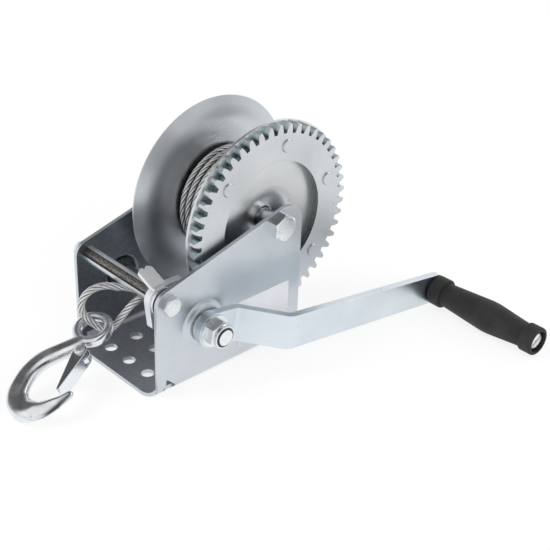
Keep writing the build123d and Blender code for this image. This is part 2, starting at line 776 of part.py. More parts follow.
def make_hook():
    sections = []
    for u, w, heading, half_width_here, half_thick in hook_sections:
        way = Vector(cos(radians(heading)), sin(radians(heading)), 0)
        plane = Plane(origin=(u, w, 0), x_dir=(-way.Y, way.X, 0), z_dir=way)
        corner = hook_corner_share * min(half_width_here, half_thick)
        sections.append(plane * RectangleRounded(2 * half_width_here, 2 * half_thick, corner))
    body = loft(sections)
    body += Torus(eye_ring_radius, eye_wire_radius)
    pivot = Pos(latch_pivot_u, latch_pivot_w)
    lug_end = pivot * Circle(latch_lug_radius)
    lug_root = Pos(latch_pivot_u, 0) * Circle(latch_lug_radius)
    lug = extrude(make_hull(lug_end.edges() + lug_root.edges()), hook_thickness / 2, both=True)
    body += fillet(lug.faces().filter_by(Plane.XY).edges(), hook_round)
    body -= pivot * Cylinder(latch_rivet_radius, 2 * hook_thickness)
    pocket = hook_thickness / 2 - latch_pocket_floor
    body -= pivot * Pos(0, 0, latch_pocket_floor + pocket) * Cylinder(latch_pocket_radius, 2 * pocket)
    return body


save(hook_plane * make_hook(), "hook")


# Latch: a bent channel whose end rests inside the hook's tip
def make_latch():
    pivot = Pos(latch_pivot_u, latch_pivot_w)
    eye = pivot * Circle(latch_eye_radius)
    heel = Vector(*latch_heel)
    nose = Vector(*latch_nose)
    inward = Vector(nose.Y - heel.Y, heel.X - nose.X).normalized() * latch_sheet
    cheek = make_face(Polyline(latch_toe, heel, nose, latch_chin, latch_throat, close=True)) + eye
    cheek -= pivot * Circle(latch_rivet_radius + running_gap)
    lower = latch_inside / 2
    latch = extrude(Pos(0, 0, lower) * cheek, latch_sheet)
    latch += extrude(Pos(0, 0, -lower - latch_sheet) * cheek, latch_sheet)
    web = make_face(Polyline(heel, nose, nose + inward, heel + inward, close=True))
    latch += extrude(web, lower + latch_sheet, both=True)
    return latch


save(hook_plane * make_latch(), "hook_latch")
head_base = latch_inside / 2 + latch_sheet + soft_gap
rivet_line = [
    (-head_base - latch_rivet_head_height, 0),
    (-head_base - latch_rivet_head_height, latch_rivet_head * rivet_crown_share),
    (-head_base, latch_rivet_head),
    (-head_base, latch_rivet_radius),
    (head_base, latch_rivet_radius),
    (head_base, latch_rivet_head),
    (head_base + latch_rivet_head_height, latch_rivet_head * rivet_crown_share),
    (head_base + latch_rivet_head_height, 0),
]
latch_rivet = Rot(0, -90, 0) * turned(rivet_line, 0, 0)
save(hook_plane * (Pos(latch_pivot_u, latch_pivot_w) * latch_rivet), "latch_rivet")
latch_coil_radius = latch_rivet_radius + latch_coil_gap + latch_wire / 2
latch_path = coil_path(latch_coil_radius, latch_pitch, latch_turns, latch_wire)
least_gap(latch_path, latch_wire, "latch spring")
coil_floor = (latch_pocket_floor + latch_inside / 2 - latch_pitch * latch_turns) / 2
latch_spring = Pos(latch_pivot_u, latch_pivot_w, coil_floor) * tube_on(latch_path, latch_wire / 2)
save(hook_plane * latch_spring, "latch_spring")

# Free rope: from under the drum, through the ferrule, round the hook's eye and back
ferrule_way = Vector(-sin(radians(ferrule_turn)), -cos(radians(ferrule_turn)), 0)
ferrule_side = Vector(cos(radians(ferrule_turn)), -sin(radians(ferrule_turn)), 0)
ferrule_mid = Vector(ferrule_x, ferrule_y, ferrule_z)
strand_aside = (rope_diameter + strand_gap) / 2
half_ferrule = ferrule_length / 2
strand_in = ferrule_mid - ferrule_side * strand_aside
strand_out = ferrule_mid + ferrule_side * strand_aside
lead_radius = layer_radius + rope_diameter + soft_gap
lead_bend_y = -4.0
lead_bend_z = 58.4
lead_sag = 0.5
lead_reach = hypot(axle_y - lead_bend_y, axle_z - lead_bend_z)
lead_dip = asin(lead_radius / lead_reach) - atan2(axle_z - lead_bend_z, axle_y - lead_bend_y)
lead_run = sqrt(lead_reach ** 2 - lead_radius ** 2)
rope_points = [
    (19, lead_bend_y + lead_run * cos(lead_dip), lead_bend_z - lead_run * sin(lead_dip)),
    (16, lead_bend_y + lead_run * 0.5, lead_bend_z - lead_run * 0.5 * sin(lead_dip) - lead_sag),
    (13.3, lead_bend_y, lead_bend_z),
    strand_in - ferrule_way * (half_ferrule + strand_run),
    strand_in + ferrule_way * (half_ferrule + strand_run),
    (-2, -51.1, 63.4),
    (-8, -59.1, 64.8),
    (-13, -68, 66),
    (-16, -76, 63),
    (-18, -80.5, 57),
    (-18.3, -81.6, 50),
    (-16.6, -80.2, 44.4),
    (-12.6, -78, 40.4),
    (-9, -74.8, 37.2),
    (-7, -71.3, 34),
    (-5.5, -67.2, 32.6),
    (-3.8, -63.4, 34.4),
    (-1.8, -60.8, 38.8),
    (0.8, -58.8, 44.3),
    (3.8, -56.4, 50),
    (7, -53.2, 55.5),
    strand_out + ferrule_way * (half_ferrule + strand_run),
    strand_out - ferrule_way * (half_ferrule + rope_end_run),
]
rope_radii = bend_radii(rope_points)
print("free rope bend radii", [round(r, 1) for r in rope_radii])
rope_path = FilletPolyline(*rope_points, radius=rope_radii)
rope_wire = Wire(rope_path.edges())
least_gap(rope_wire, rope_diameter, "free rope")
save(tube_on(rope_wire, rope_radius), "rope_lead")

# Crimped ferrule with a bore for each strand
ferrule_start = ferrule_mid - ferrule_way * half_ferrule
ferrule_plane = Plane(origin=ferrule_start, x_dir=ferrule_side, z_dir=ferrule_way)
ferrule_height = rope_diameter + 2 * ferrule_wall
ferrule_outline = SlotCenterToCenter(2 * strand_aside, ferrule_height)
bore_radius = rope_radius + ferrule_grip_gap
for aside in (-strand_aside, strand_aside):
    ferrule_outline -= Pos(aside, 0) * Circle(bore_radius)
save(ferrule_plane * extrude(ferrule_outline, ferrule_length), "rope_ferrule")
print("hook eye height", round(hook_z, 2), "pinion at", round(pinion_y, 2), round(pinion_z, 2))
print("grip at", round(grip_y, 2), round(grip_z, 2), "gear back", gear_back, "pawl back", pawl_back)
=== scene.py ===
import json
from math import acos, asin, atan2, cos, hypot, pi, radians, sin, sqrt, tau

import bpy
import numpy as np
from mathutils import Matrix, Vector


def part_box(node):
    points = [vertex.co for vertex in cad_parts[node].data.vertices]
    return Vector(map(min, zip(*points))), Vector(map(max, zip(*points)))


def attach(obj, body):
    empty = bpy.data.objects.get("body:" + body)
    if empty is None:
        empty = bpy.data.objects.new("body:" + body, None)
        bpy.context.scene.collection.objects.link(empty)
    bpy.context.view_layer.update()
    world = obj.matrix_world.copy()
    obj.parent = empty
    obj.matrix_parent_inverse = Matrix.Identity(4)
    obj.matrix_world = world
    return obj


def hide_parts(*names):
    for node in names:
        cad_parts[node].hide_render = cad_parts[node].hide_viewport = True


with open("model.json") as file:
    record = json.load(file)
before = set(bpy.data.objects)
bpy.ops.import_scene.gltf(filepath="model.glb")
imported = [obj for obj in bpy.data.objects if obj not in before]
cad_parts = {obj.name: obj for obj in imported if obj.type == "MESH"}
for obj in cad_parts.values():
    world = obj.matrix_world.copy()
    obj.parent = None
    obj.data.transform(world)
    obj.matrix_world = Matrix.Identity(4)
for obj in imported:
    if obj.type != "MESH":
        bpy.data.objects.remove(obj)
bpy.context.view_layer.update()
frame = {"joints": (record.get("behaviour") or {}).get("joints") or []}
scene = bpy.context.scene
mm = 0.001

# camera at the photograph's angle, a little rolled
camera = {
    "azimuth": 45.66,  # degrees from the front towards the crank
    "elevation": 30.39,
    "roll": 2.25,
    "lens": 80.37,  # in mm, on a sensor of this width
    "sensor": 36,
    "nearest": 0.01,
    "location": (0.6067, -0.5003, 0.5177),
}


def placeCamera(spec):
    around, above, roll = (radians(spec[key]) for key in ("azimuth", "elevation", "roll"))
    ahead = Vector((-sin(around) * cos(above), cos(around) * cos(above), -sin(above)))
    level = Vector((cos(around), sin(around), 0))
    upright = level.cross(ahead)
    right = level * cos(roll) + upright * sin(roll)
    up = upright * cos(roll) - level * sin(roll)
    data = bpy.data.cameras.new("camera")
    data.sensor_width = spec["sensor"]
    data.lens = spec["lens"]
    data.clip_start = spec["nearest"]
    obj = bpy.data.objects.new("camera", data)
    turned = Matrix((right, up, -ahead)).transposed().to_4x4()
    turned.translation = spec["location"]
    obj.matrix_world = turned
    scene.collection.objects.link(obj)
    scene.camera = obj


placeCamera(camera)
print("camera placed")


# mesh makers: every shape is an array of points, joined in quads

def showMesh(name, points, faces, uv=None):
    mesh = bpy.data.meshes.new(name)
    mesh.from_pydata(points.reshape(-1, 3).tolist(), [], faces)
    if uv is not None:
        mesh.uv_layers.new(name="UVMap").data.foreach_set("uv", uv.astype(np.float32).ravel())
    mesh.polygons.foreach_set("use_smooth", np.ones(len(faces), bool))
    mesh.update()
    obj = bpy.data.objects.new(name, mesh)
    scene.collection.objects.link(obj)
    return obj


# tubes: k grids of n rings by m sides, each grid closed round its rings and capped at its two ends;
# u runs along a tube in metres and v once round it
def tubeMesh(name, rings, along):
    count, rows, sides = rings.shape[:3]
    k, r, c = np.meshgrid(np.arange(count), np.arange(rows - 1), np.arange(sides), indexing="ij")
    following = (c + 1) % sides
    base = k * rows * sides
    corners = [(r, c, c), (r, following, c + 1), (r + 1, following, c + 1), (r + 1, c, c)]
    quads = np.stack([base + row * sides + column for row, column, _ in corners], -1).reshape(-1, 4)
    uv = np.stack([np.stack([along[row], turn / sides], -1) for row, _, turn in corners], -2).reshape(-1, 2)
    faces = quads.tolist()
    cap = np.arange(sides)
    for start in range(0, count * rows * sides, rows * sides):
        faces.append((start + cap[::-1]).tolist())
        faces.append((start + (rows - 1) * sides + cap).tolist())
    capUv = np.zeros((2 * count * sides, 2))
    return showMesh(name, rings, faces, np.concatenate([uv, capUv]))


def unit(vectors):
    return vectors / np.linalg.norm(vectors, axis=-1, keepdims=True)


# distance travelled along a line at each of its points
def travelled(line):
    return np.concatenate([[0], np.cumsum(np.linalg.norm(np.diff(line, axis=0), axis=1))])


# even stations along a line of points
def evenly(line, step):
    travel = travelled(line)
    stations = np.linspace(0, travel[-1], int(np.ceil(travel[-1] / step)) + 1)
    return np.stack([np.interp(stations, travel, line[:, i]) for i in range(3)], 1), stations


leaning = (0.31, 0.77, 0.55)  # a way that no line here starts along


# a side vector carried from station to station with no twist, and the one square to it
def carriedSides(line):
    ahead = unit(np.gradient(line, axis=0))
    side = np.empty_like(line)
    current = np.cross(ahead[0], leaning)
    for i, way in enumerate(ahead):
        current = unit(current - way * (current @ way))
        side[i] = current
    return side, np.cross(ahead, side)


# a plain round wire on a line: ring = line + radius (cos a side + sin a across)
def roundWire(name, line, radius, sides):
    side, across = carriedSides(line)
    angle = np.arange(sides) * tau / sides
    turn = np.cos(angle)[:, None] * side[:, None] + np.sin(angle)[:, None] * across[:, None]
    return tubeMesh(name, (line[:, None] + radius * turn)[None], travelled(line))


# wire rope
rope = {
    "diameter": 5.5 * mm,
    "strands": 6,
    "lay": 33 * mm,  # length of one full twist
    "strandShare": 0.36,  # a strand's radius as a share of the rope's
}


# strands: each strand's middle circles the line at rope radius less strand radius, one turn a lay,
# and its rings stand square to its own run
def laidRope(name, line, step, sides):
    radius = rope["diameter"] / 2
    strand = radius * rope["strandShare"]
    line, stations = evenly(line, step)
    side, across = carriedSides(line)
    first = np.arange(rope["strands"]) * tau / rope["strands"]
    turn = first[:, None] + stations * tau / rope["lay"]
    outward = np.cos(turn)[..., None] * side + np.sin(turn)[..., None] * across
    middle = line + (radius - strand) * outward
    ahead = unit(np.gradient(middle, axis=1))
    aside = np.cross(ahead, outward)
    angle = np.arange(sides) * tau / sides
    ring = np.cos(angle)[:, None] * outward[:, :, None] + np.sin(angle)[:, None] * aside[:, :, None]
    return tubeMesh(name, middle[:, :, None] + strand * ring, stations), line


# free rope: from under the drum, through the ferrule, round the hook's eye and back into the ferrule
washerLow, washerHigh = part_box("drum_axle_washer")
axleY, axleZ = (washerLow.y + washerHigh.y) / 2, (washerLow.z + washerHigh.z) / 2
lead = {
    "radius": 44.85 * mm,  # of the turn that it leaves
    "bend": (-4 * mm, 58.4 * mm),  # y and z where the straight run ends
    "x": (19 * mm, 16 * mm, 13.3 * mm),  # at the run's start, middle and end
    "sag": 0.5 * mm,
    "loop": np.array([  # from the ferrule round the hook's eye and back
        (-2, -51.1, 63.4), (-8, -59.1, 64.8), (-13, -68, 66), (-16, -76, 63),
        (-18, -80.5, 57), (-18.3, -81.6, 50), (-16.6, -80.2, 44.4), (-12.6, -78, 40.4),
        (-9, -74.8, 37.2), (-7, -71.3, 34), (-5.5, -67.2, 32.6), (-3.8, -63.4, 34.4),
        (-1.8, -60.8, 38.8), (0.8, -58.8, 44.3), (3.8, -56.4, 50), (7, -53.2, 55.5),
    ]) * mm,
    "step": 0.9 * mm,
    "sides": 12,
}
ferrule = {
    "middle": np.array((11, -31, 60.3)) * mm,
    "turn": radians(15),
    "length": 20 * mm,
    "strandRun": 5.5 * mm,  # that the rope keeps straight past its ends
    "tail": 1.5 * mm,  # of rope end that shows
    "aside": 3 * mm,  # from its middle to each of the two ropes in it
    "height": 7.7 * mm,
    "crimps": 3,
    "crimpDepth": 0.55 * mm,
    "crimpPower": 3,  # more is narrower
    "endRound": 0.8 * mm,
    "endDraw": 0.45 * mm,
    "flatPower": 0.5,  # less is pressed in more evenly across
    "bulge": 0.35,  # share of a crimp's depth that comes out at the sides
    "rows": 61,
    "sides": 40,
}
ferruleWay = np.array((-sin(ferrule["turn"]), -cos(ferrule["turn"]), 0))
ferruleSide = np.array((cos(ferrule["turn"]), -sin(ferrule["turn"]), 0))


# route: a straight run that touches the drum's turn, then given points
def ropeRoute():
    bendY, bendZ = lead["bend"]
    startX, middleX, bendX = lead["x"]
    reach = hypot(axleY - bendY, axleZ - bendZ)
    dip = asin(lead["radius"] / reach) - atan2(axleZ - bendZ, axleY - bendY)
    run = sqrt(reach ** 2 - lead["radius"] ** 2)
    half = ferrule["length"] / 2
    into = ferrule["middle"] - ferruleSide * ferrule["aside"]
    back = ferrule["middle"] + ferruleSide * ferrule["aside"]
    start = [
        (startX, bendY + run * cos(dip), bendZ - run * sin(dip)),
        (middleX, bendY + run / 2, bendZ - run / 2 * sin(dip) - lead["sag"]),
        (bendX, bendY, bendZ),
        into - ferruleWay * (half + ferrule["strandRun"]),
        into + ferruleWay * (half + ferrule["strandRun"]),
    ]
    end = [
        back + ferruleWay * (half + ferrule["strandRun"]),
        back - ferruleWay * (half + ferrule["tail"]),
    ]
    return np.concatenate([start, lead["loop"], end])


# the points of a smooth curve whose control points are the route
def smoothLine(route):
    curve = bpy.data.curves.new("routeCurve", "CURVE")
    curve.dimensions = "3D"
    curve.resolution_u = 12
    spline = curve.splines.new("NURBS")
    spline.points.add(len(route) - 1)
    spline.points.foreach_set("co", np.column_stack([route, np.ones(len(route))]).ravel())
    spline.order_u = 3
    spline.use_endpoint_u = True
    holder = bpy.data.objects.new("routeCurve", curve)
    mesh = bpy.data.meshes.new_from_object(holder)
    line = np.empty(3 * len(mesh.vertices))
    mesh.vertices.foreach_get("co", line)
    bpy.data.objects.remove(holder)
    bpy.data.meshes.remove(mesh)
    bpy.data.curves.remove(curve)
    return line.reshape(-1, 3)


route = ropeRoute()
leadRope, leadLine = laidRope("ropeLead", smoothLine(route), lead["step"], lead["sides"])
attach(leadRope, "frame")
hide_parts("rope_lead")

# rope on the drum: one turn of a second layer that drops into the first layer, and a layer under both
winding = {
    "radius": 39 * mm,
    "turns": 7,
    "drop": 65,  # degrees over which the upper turn drops
    "upperPoints": 260,
    "turnPoints": 240,
    "step": 1.5 * mm,
    "sides": 8,
    "underRadius": 33.1 * mm,
    "underTurns": 7,
    "underInset": 2.4 * mm,
    "underTurnPoints": 200,
    "underStep": 2.2 * mm,
    "underSides": 7,
}


# points about the axle, from each one's x, radius and angle
def aboutAxle(x, radius, angle):
    return np.column_stack([x, axleY + radius * np.cos(angle), axleZ + radius * np.sin(angle)])


# outer turns: a helix whose x moves evenly with its angle; the upper turn's radius falls to the layer's
# by a smooth step, 3 f squared less 2 f cubed
def drumTurns():
    low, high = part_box("rope_winding")
    nearX, farX = high.x - rope["diameter"] / 2, low.x + rope["diameter"] / 2
    startX = lead["x"][0]
    lowest = -pi / 2
    leaving = atan2(route[0][2] - axleZ, route[0][1] - axleY)
    upper = np.linspace(leaving, lowest + tau, winding["upperPoints"])
    share = (upper - leaving) / (upper[-1] - leaving)
    fall = np.clip((upper - upper[-1]) / radians(winding["drop"]) + 1, 0, 1)
    fall = fall * fall * (3 - 2 * fall)
    upperRadius = lead["radius"] + (winding["radius"] - lead["radius"]) * fall
    upperX = startX + (nearX - startX) * share
    layer = np.linspace(0, winding["turns"] * tau, winding["turnPoints"] * winding["turns"])[1:]
    layerX = nearX + (farX - nearX) * layer / layer[-1]
    angle = np.concatenate([upper, layer + lowest])
    radius = np.concatenate([upperRadius, np.full(len(layer), winding["radius"])])
    return aboutAxle(np.concatenate([upperX, layerX]), radius, angle)


# layer below: a plain helix, set in from both ends of the layer above
def underTurns():
    low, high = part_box("rope_winding")
    inset = rope["diameter"] / 2 + winding["underInset"]
    turns = winding["underTurns"]
    angle = np.linspace(0, turns * tau, winding["underTurnPoints"] * turns)
    x = low.x + inset + (high.x - low.x - 2 * inset) * angle / angle[-1]
    return aboutAxle(x, winding["underRadius"], angle)


woundRope, _ = laidRope("ropeWinding", drumTurns(), winding["step"], winding["sides"])
underRope, _ = laidRope("ropeUnderLayer", underTurns(), winding["underStep"], winding["underSides"])
for piece, node in ((woundRope, "rope_winding"), (underRope, "rope_core")):
    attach(piece, "drum")
    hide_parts(node)
print("drum wound")


# ferrule: a rounded slot section carried along its axis, drawn in at each crimp and rounded at both ends
def crimpedFerrule(spec):
    along = np.linspace(-0.5, 0.5, spec["rows"])
    angle = np.arange(spec["sides"]) * tau / spec["sides"]
    half = spec["height"] / 2
    crimp = 0.5 - 0.5 * np.cos(tau * spec["crimps"] * (along + 0.5))
    ends = np.clip((0.5 - np.abs(along)) * spec["length"] / spec["endRound"], 0, 1)
    narrow = spec["endDraw"] * (1 - np.sqrt(1 - (1 - ends) ** 2))
    narrow = narrow + spec["crimpDepth"] * crimp ** spec["crimpPower"]
    shrink = narrow[:, None] * np.abs(np.sin(angle)) ** spec["flatPower"]
    outward = np.sign(np.cos(angle))
    sideways = outward * spec["aside"] + half * np.cos(angle) + outward * spec["bulge"] * shrink
    upward = half * np.sin(angle)
    upward = upward - np.sign(upward) * shrink
    place = spec["middle"] + along[:, None, None] * spec["length"] * ferruleWay
    ring = sideways[..., None] * ferruleSide + upward[..., None] * np.array((0, 0, 1.0))
    return tubeMesh("ropeFerrule", (place + ring)[None], along * spec["length"])


ferrulePiece = crimpedFerrule(ferrule)
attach(ferrulePiece, "frame")
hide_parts("rope_ferrule")
print("ferrule crimped")

# latch spring
latchSpring = {
    "wire": 0.8 * mm,
    "radius": 3.4 * mm,
    "pitch": 1.25 * mm,
    "turns": 2,
    "tail": 0.8 * mm,
    "turnPoints": 36,
    "sides": 8,
}


# helix of so many turns about the latch's pin, with a straight tail at each end
def coilLine(origin, sideA, sideB, axis, spec):
    angle = np.linspace(0, spec["turns"] * tau, spec["turnPoints"] * spec["turns"] + 1)
    coil = (origin + spec["radius"] * (np.cos(angle)[:, None] * sideA + np.sin(angle)[:, None] * sideB)
            + spec["pitch"] * (angle / tau)[:, None] * axis)
    first, last = unit(coil[0] - coil[1]), unit(coil[-1] - coil[-2])
    return np.concatenate([[coil[0] + first * spec["tail"]], coil, [coil[-1] + last * spec["tail"]]])


def windSpring(spec):
    low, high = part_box("latch_spring")
    joint = next(j for j in frame["joints"] if j["name"] == "latch_swing")
    axis = -unit(np.array(joint["axis"], float))
    sideA = unit(np.cross(axis, (1.0, 0, 0)))
    start = np.array((low + high) / 2) - axis * spec["pitch"] * spec["turns"] / 2
    line = coilLine(start, sideA, np.cross(axis, sideA), axis, spec)
    return roundWire("latchSpring", line, spec["wire"] / 2, spec["sides"])


springPiece = windSpring(latchSpring)
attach(springPiece, "frame")
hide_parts("latch_spring")
print("spring wound")

# forged hook in its own plane: u down the hook, w towards the tip, n up through it
forgedHook = {
    "origin": np.array((-7.8, -79.1, 36.671)) * mm,  # middle of the eye
    "tilt": radians(21.8),
    "turn": radians(12),
    "stations": np.array([  # u, w, half width, half thickness, in mm
        (11.5, 0.2, 6.4, 4.2), (18.6, -2.4, 6.4, 4.5), (28, -8.2, 6.3, 4.7), (38, -14.2, 6.4, 4.7),
        (48, -16.6, 6.5, 4.7), (57.7, -16, 6.7, 4.7), (68.8, -12.2, 7.3, 4.7), (75.5, -5.6, 8.4, 4.7),
        (77.2, 3.6, 8.6, 4.7), (73.6, 11.6, 7, 4.5), (65.7, 17.3, 5.3, 4.1), (57.8, 20.8, 3.4, 3.2),
        (50.3, 22.9, 2.2, 2.4),
    ]) * mm,
    # 1 is a diamond, 2 an ellipse, more is nearer to a box: outer and inner side from the eye to the tip
    "squareness": np.array([(2.6, 2.2), (7, 2.1), (7, 2.1), (4, 2.2), (1.5, 3), (1.35, 3), (1.6, 2.6)]),
    "ridge": (0.0, 0.0, 0.0, 0.1, 0.35, 0.4, 0.4),  # of the top, as a share of the way to the inner side
    "squareAt": (0.0, 0.2, 0.5, 0.62, 0.72, 0.85, 1.0),  # share of the stations
    "rows": 140,
    "sides": 36,
    "tip": 2.4 * mm,  # length of the rounded tip
    "tipLeast": 0.02,  # share of that length at which the tip is closed
    "eyeRadius": 11.7 * mm,
    "eyeSection": (3.5 * mm, 4.0 * mm),  # half width and half thickness
    "eyeSquareness": 2.4,
    "eyeRows": 97,
    "eyeSides": 28,
    "grain": 0.45 * mm,
    "blending": 7,
}
hookLug = {
    "u": 22.2 * mm,
    "w": (-1 * mm, 8.1 * mm),
    "radius": 5.8 * mm,
    "n": (-4.6 * mm, 1.5 * mm),
    "lowEdge": (0.8 * mm, 0.8),  # height of the drawn-in edge, and the outline's share at its face
    "highEdge": (0.6 * mm, 0.85),
    "sides": 40,
}


# a smooth line through rows of values: the cubic between two rows heads as their neighbours do
def throughRows(rows, count):
    padded = np.concatenate([[2 * rows[0] - rows[1]], rows, [2 * rows[-1] - rows[-2]]])
    t = np.linspace(0, len(rows) - 1, count)
    i = np.minimum(t.astype(int), len(rows) - 2)
    f = (t - i)[:, None]
    a, b, c, d = (padded[i + k] for k in range(4))
    slope = (c - a) / 2
    bend = a - (5 * b - 4 * c + d) / 2
    twist = (3 * b - a - 3 * c + d) / 2
    return b + slope * f + bend * f ** 2 + twist * f ** 3


# a squared ellipse: each of cos a and sin a to the power 2 / squareness, with its sign kept;
# the squareness is one number for each side of the section
def squaredEllipse(sides, outer, inner):
    angle = np.arange(sides) * tau / sides
    power = 2 / np.where(np.cos(angle) > 0, inner, outer)
    return (np.sign(np.cos(angle)) * np.abs(np.cos(angle)) ** power,
            np.sign(np.sin(angle)) * np.abs(np.sin(angle)) ** power)


# body: the section carried along the hook's line and rounded off at the tip
def bodyForm(spec):
    rows = throughRows(spec["stations"], spec["rows"])
    line, half = rows[:, :2], rows[:, 2:]
    travel = travelled(line)
    left = np.clip((travel[-1] - travel) / spec["tip"], spec["tipLeast"], 1)
    half = half * np.sqrt(1 - (1 - left) ** 2)[:, None]
    ahead = unit(np.gradient(line, axis=0))
    across = np.column_stack([-ahead[:, 1], ahead[:, 0]])
    along = np.linspace(0, 1, len(rows))
    outer, inner = (np.interp(along, spec["squareAt"], side)[:, None] for side in spec["squareness"].T)
    ridge = np.interp(along, spec["squareAt"], spec["ridge"])[:, None]
    wide, thick = squaredEllipse(spec["sides"], outer, inner)
    wide = ridge + np.where(wide > 0, 1 - ridge, 1 + ridge) * wide
    flat = line[:, None] + across[:, None] * (half[:, :1] * wide)[..., None]
    return np.concatenate([flat, (half[:, 1:] * thick)[..., None]], -1)


# eye: the section carried once round its circle
def eyeForm(spec):
    around = np.linspace(0, tau, spec["eyeRows"])[:, None]
    wide, thick = squaredEllipse(spec["eyeSides"], spec["eyeSquareness"], spec["eyeSquareness"])
    reach = spec["eyeRadius"] + spec["eyeSection"][0] * wide
    height = np.broadcast_to(spec["eyeSection"][1] * thick, (len(around), len(thick)))
    return np.stack([reach * np.cos(around), reach * np.sin(around), height], -1)


# lug: a slot outline about the latch's pin, drawn in a little at its lower and upper face
def lugForm(spec):
    angle = np.arange(spec["sides"]) * tau / spec["sides"]
    lowW, highW = spec["w"]
    middle = np.array((spec["u"], (lowW + highW) / 2))
    u = spec["u"] + spec["radius"] * np.cos(angle)
    w = np.where(np.sin(angle) > 0, highW, lowW) + spec["radius"] * np.sin(angle)
    edge = np.column_stack([u, w]) - middle
    (low, high), (lowRise, lowShare), (highRise, highShare) = spec["n"], spec["lowEdge"], spec["highEdge"]
    levels = ((low, lowShare), (low + lowRise, 1), (high - highRise, 1), (high, highShare))
    rings = [np.column_stack([middle + edge * share, np.full(len(edge), n)]) for n, share in levels]
    return np.array(rings)


# closed forms in the hook's plane, grown together and smoothed where they meet
def growTogether(name, grids, grain, blending):
    tilt, turn = forgedHook["tilt"], forgedHook["turn"]
    down = np.array((cos(tilt) * sin(turn), -cos(tilt) * cos(turn), -sin(tilt)))
    aside = np.array((cos(turn), sin(turn), 0))
    axes = np.stack([down, aside, np.cross(down, aside)])
    points, faces = [], []
    for grid in grids:
        rows, sides = grid.shape[:2]
        r, c = np.meshgrid(np.arange(rows - 1), np.arange(sides), indexing="ij")
        following = (c + 1) % sides
        corners = [r * sides + c, r * sides + following, (r + 1) * sides + following, (r + 1) * sides + c]
        first = sum(len(part) for part in points)
        faces += (first + np.stack(corners, -1).reshape(-1, 4)).tolist()
        faces.append((first + np.arange(sides)[::-1]).tolist())
        faces.append((first + (rows - 1) * sides + np.arange(sides)).tolist())
        points.append(grid.reshape(-1, 3))
    piece = showMesh(name, forgedHook["origin"] + np.concatenate(points) @ axes, faces)
    grown = piece.modifiers.new("grown", "REMESH")
    grown.mode = "VOXEL"
    grown.voxel_size = grain
    grown.use_smooth_shade = True
    smoothed = piece.modifiers.new("smoothed", "SMOOTH")
    smoothed.factor = 0.5
    smoothed.iterations = blending
    ready = piece.evaluated_get(bpy.context.evaluated_depsgraph_get())
    mesh = bpy.data.meshes.new_from_object(ready)
    piece.modifiers.clear()
    piece.data = mesh
    return piece


hookForms = (bodyForm(forgedHook), eyeForm(forgedHook), lugForm(hookLug))
hookPiece = growTogether("forgedHook", hookForms, forgedHook["grain"], forgedHook["blending"])
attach(hookPiece, "frame")
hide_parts("hook")
print("hook forged, faces:", len(hookPiece.data.polygons))

# latch folded from sheet, in the hook's plane: two cheeks about the rivet and a web between them
foldedLatch = {
    "pivot": np.array((22.2, 8.1)) * mm,
    "heel": np.array((26.7, 13.9)) * mm,
    "nose": np.array((56, 16.2)) * mm,
    "chin": np.array((56.4, 14.4)) * mm,
    "eyeRadius": 5 * mm,
    "boreRadius": 2.55 * mm,
    "inside": 10.2 * mm,  # between the cheeks
    "sheet": 1.4 * mm,
    "arcPoints": 40,
    "step": 0.4 * mm,  # along the outline
    "grain": 0.3 * mm,
    "blending": 3,
}


# cheek: an arc about the rivet and straight runs to chin, nose and heel; a rectangle from this outline
# to the bore is carried once round it
def latchCheek(spec, low):
    pivot, radius = spec["pivot"], spec["eyeRadius"]

    def touching(point, side):  # angle on the arc where a line from the point touches it
        away = point - pivot
        return atan2(away[1], away[0]) + side * acos(radius / hypot(*away))

    angle = np.linspace(touching(spec["heel"], 1), touching(spec["chin"], -1) + tau, spec["arcPoints"])
    arc = pivot + radius * np.column_stack([np.cos(angle), np.sin(angle)])
    corners = np.concatenate([arc, [spec["chin"], spec["nose"], spec["heel"], arc[0]]])
    outline = evenly(np.column_stack([corners, np.zeros(len(corners))]), spec["step"])[0][:, :2]
    bore = pivot + spec["boreRadius"] * unit(outline - pivot)
    high = low + spec["sheet"]
    rim = ((outline, low), (outline, high), (bore, high), (bore, low))
    return np.stack([np.column_stack([edge, np.full(len(edge), n)]) for edge, n in rim], 1)


# web: the rectangle along the line from heel to nose, as wide as the cheeks stand apart
def latchWeb(spec):
    run = spec["nose"] - spec["heel"]
    inward = np.array((run[1], -run[0])) / hypot(*run) * spec["sheet"]
    corners = np.array([spec["heel"], spec["nose"], spec["nose"] + inward, spec["heel"] + inward])
    half = spec["inside"] / 2 + spec["sheet"]
    return np.array([np.column_stack([corners, np.full(len(corners), n)]) for n in (-half, half)])


cheekLows = (foldedLatch["inside"] / 2, -foldedLatch["inside"] / 2 - foldedLatch["sheet"])
latchForms = (latchWeb(foldedLatch), *(latchCheek(foldedLatch, low) for low in cheekLows))
latchPiece = growTogether("foldedLatch", latchForms, foldedLatch["grain"], foldedLatch["blending"])
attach(latchPiece, "latch")
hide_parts("hook_latch")
print("latch folded, faces:", len(latchPiece.data.polygons))

# blank label on the near side plate
label = {
    "y": (9.6 * mm, 60 * mm),
    "z": (10.6 * mm, 49.8 * mm),
    "corner": 1.5 * mm,
    "cornerPoints": 7,
    "thick": 0.14 * mm,
    "bossHeight": 3 * mm,  # from the plate to the bush's outer end
    "levels": ((-0.05, 0), (0.7, 0), (1, 0.12 * mm)),  # share of the thickness, and the edge's inset
}


# outline of a rounded rectangle: four quarter circles, counted round from its first corner
def roundedOutline(width, height, corner, steps):
    quarter, step = np.divmod(np.arange(4 * steps), steps)
    angle = (quarter + step / (steps - 1)) * (pi / 2)
    signA = np.array((1, -1, -1, 1))[quarter]
    signB = np.array((1, 1, -1, -1))[quarter]
    return np.column_stack([
        signA * (width / 2 - corner) + corner * np.cos(angle),
        signB * (height / 2 - corner) + corner * np.sin(angle),
    ])


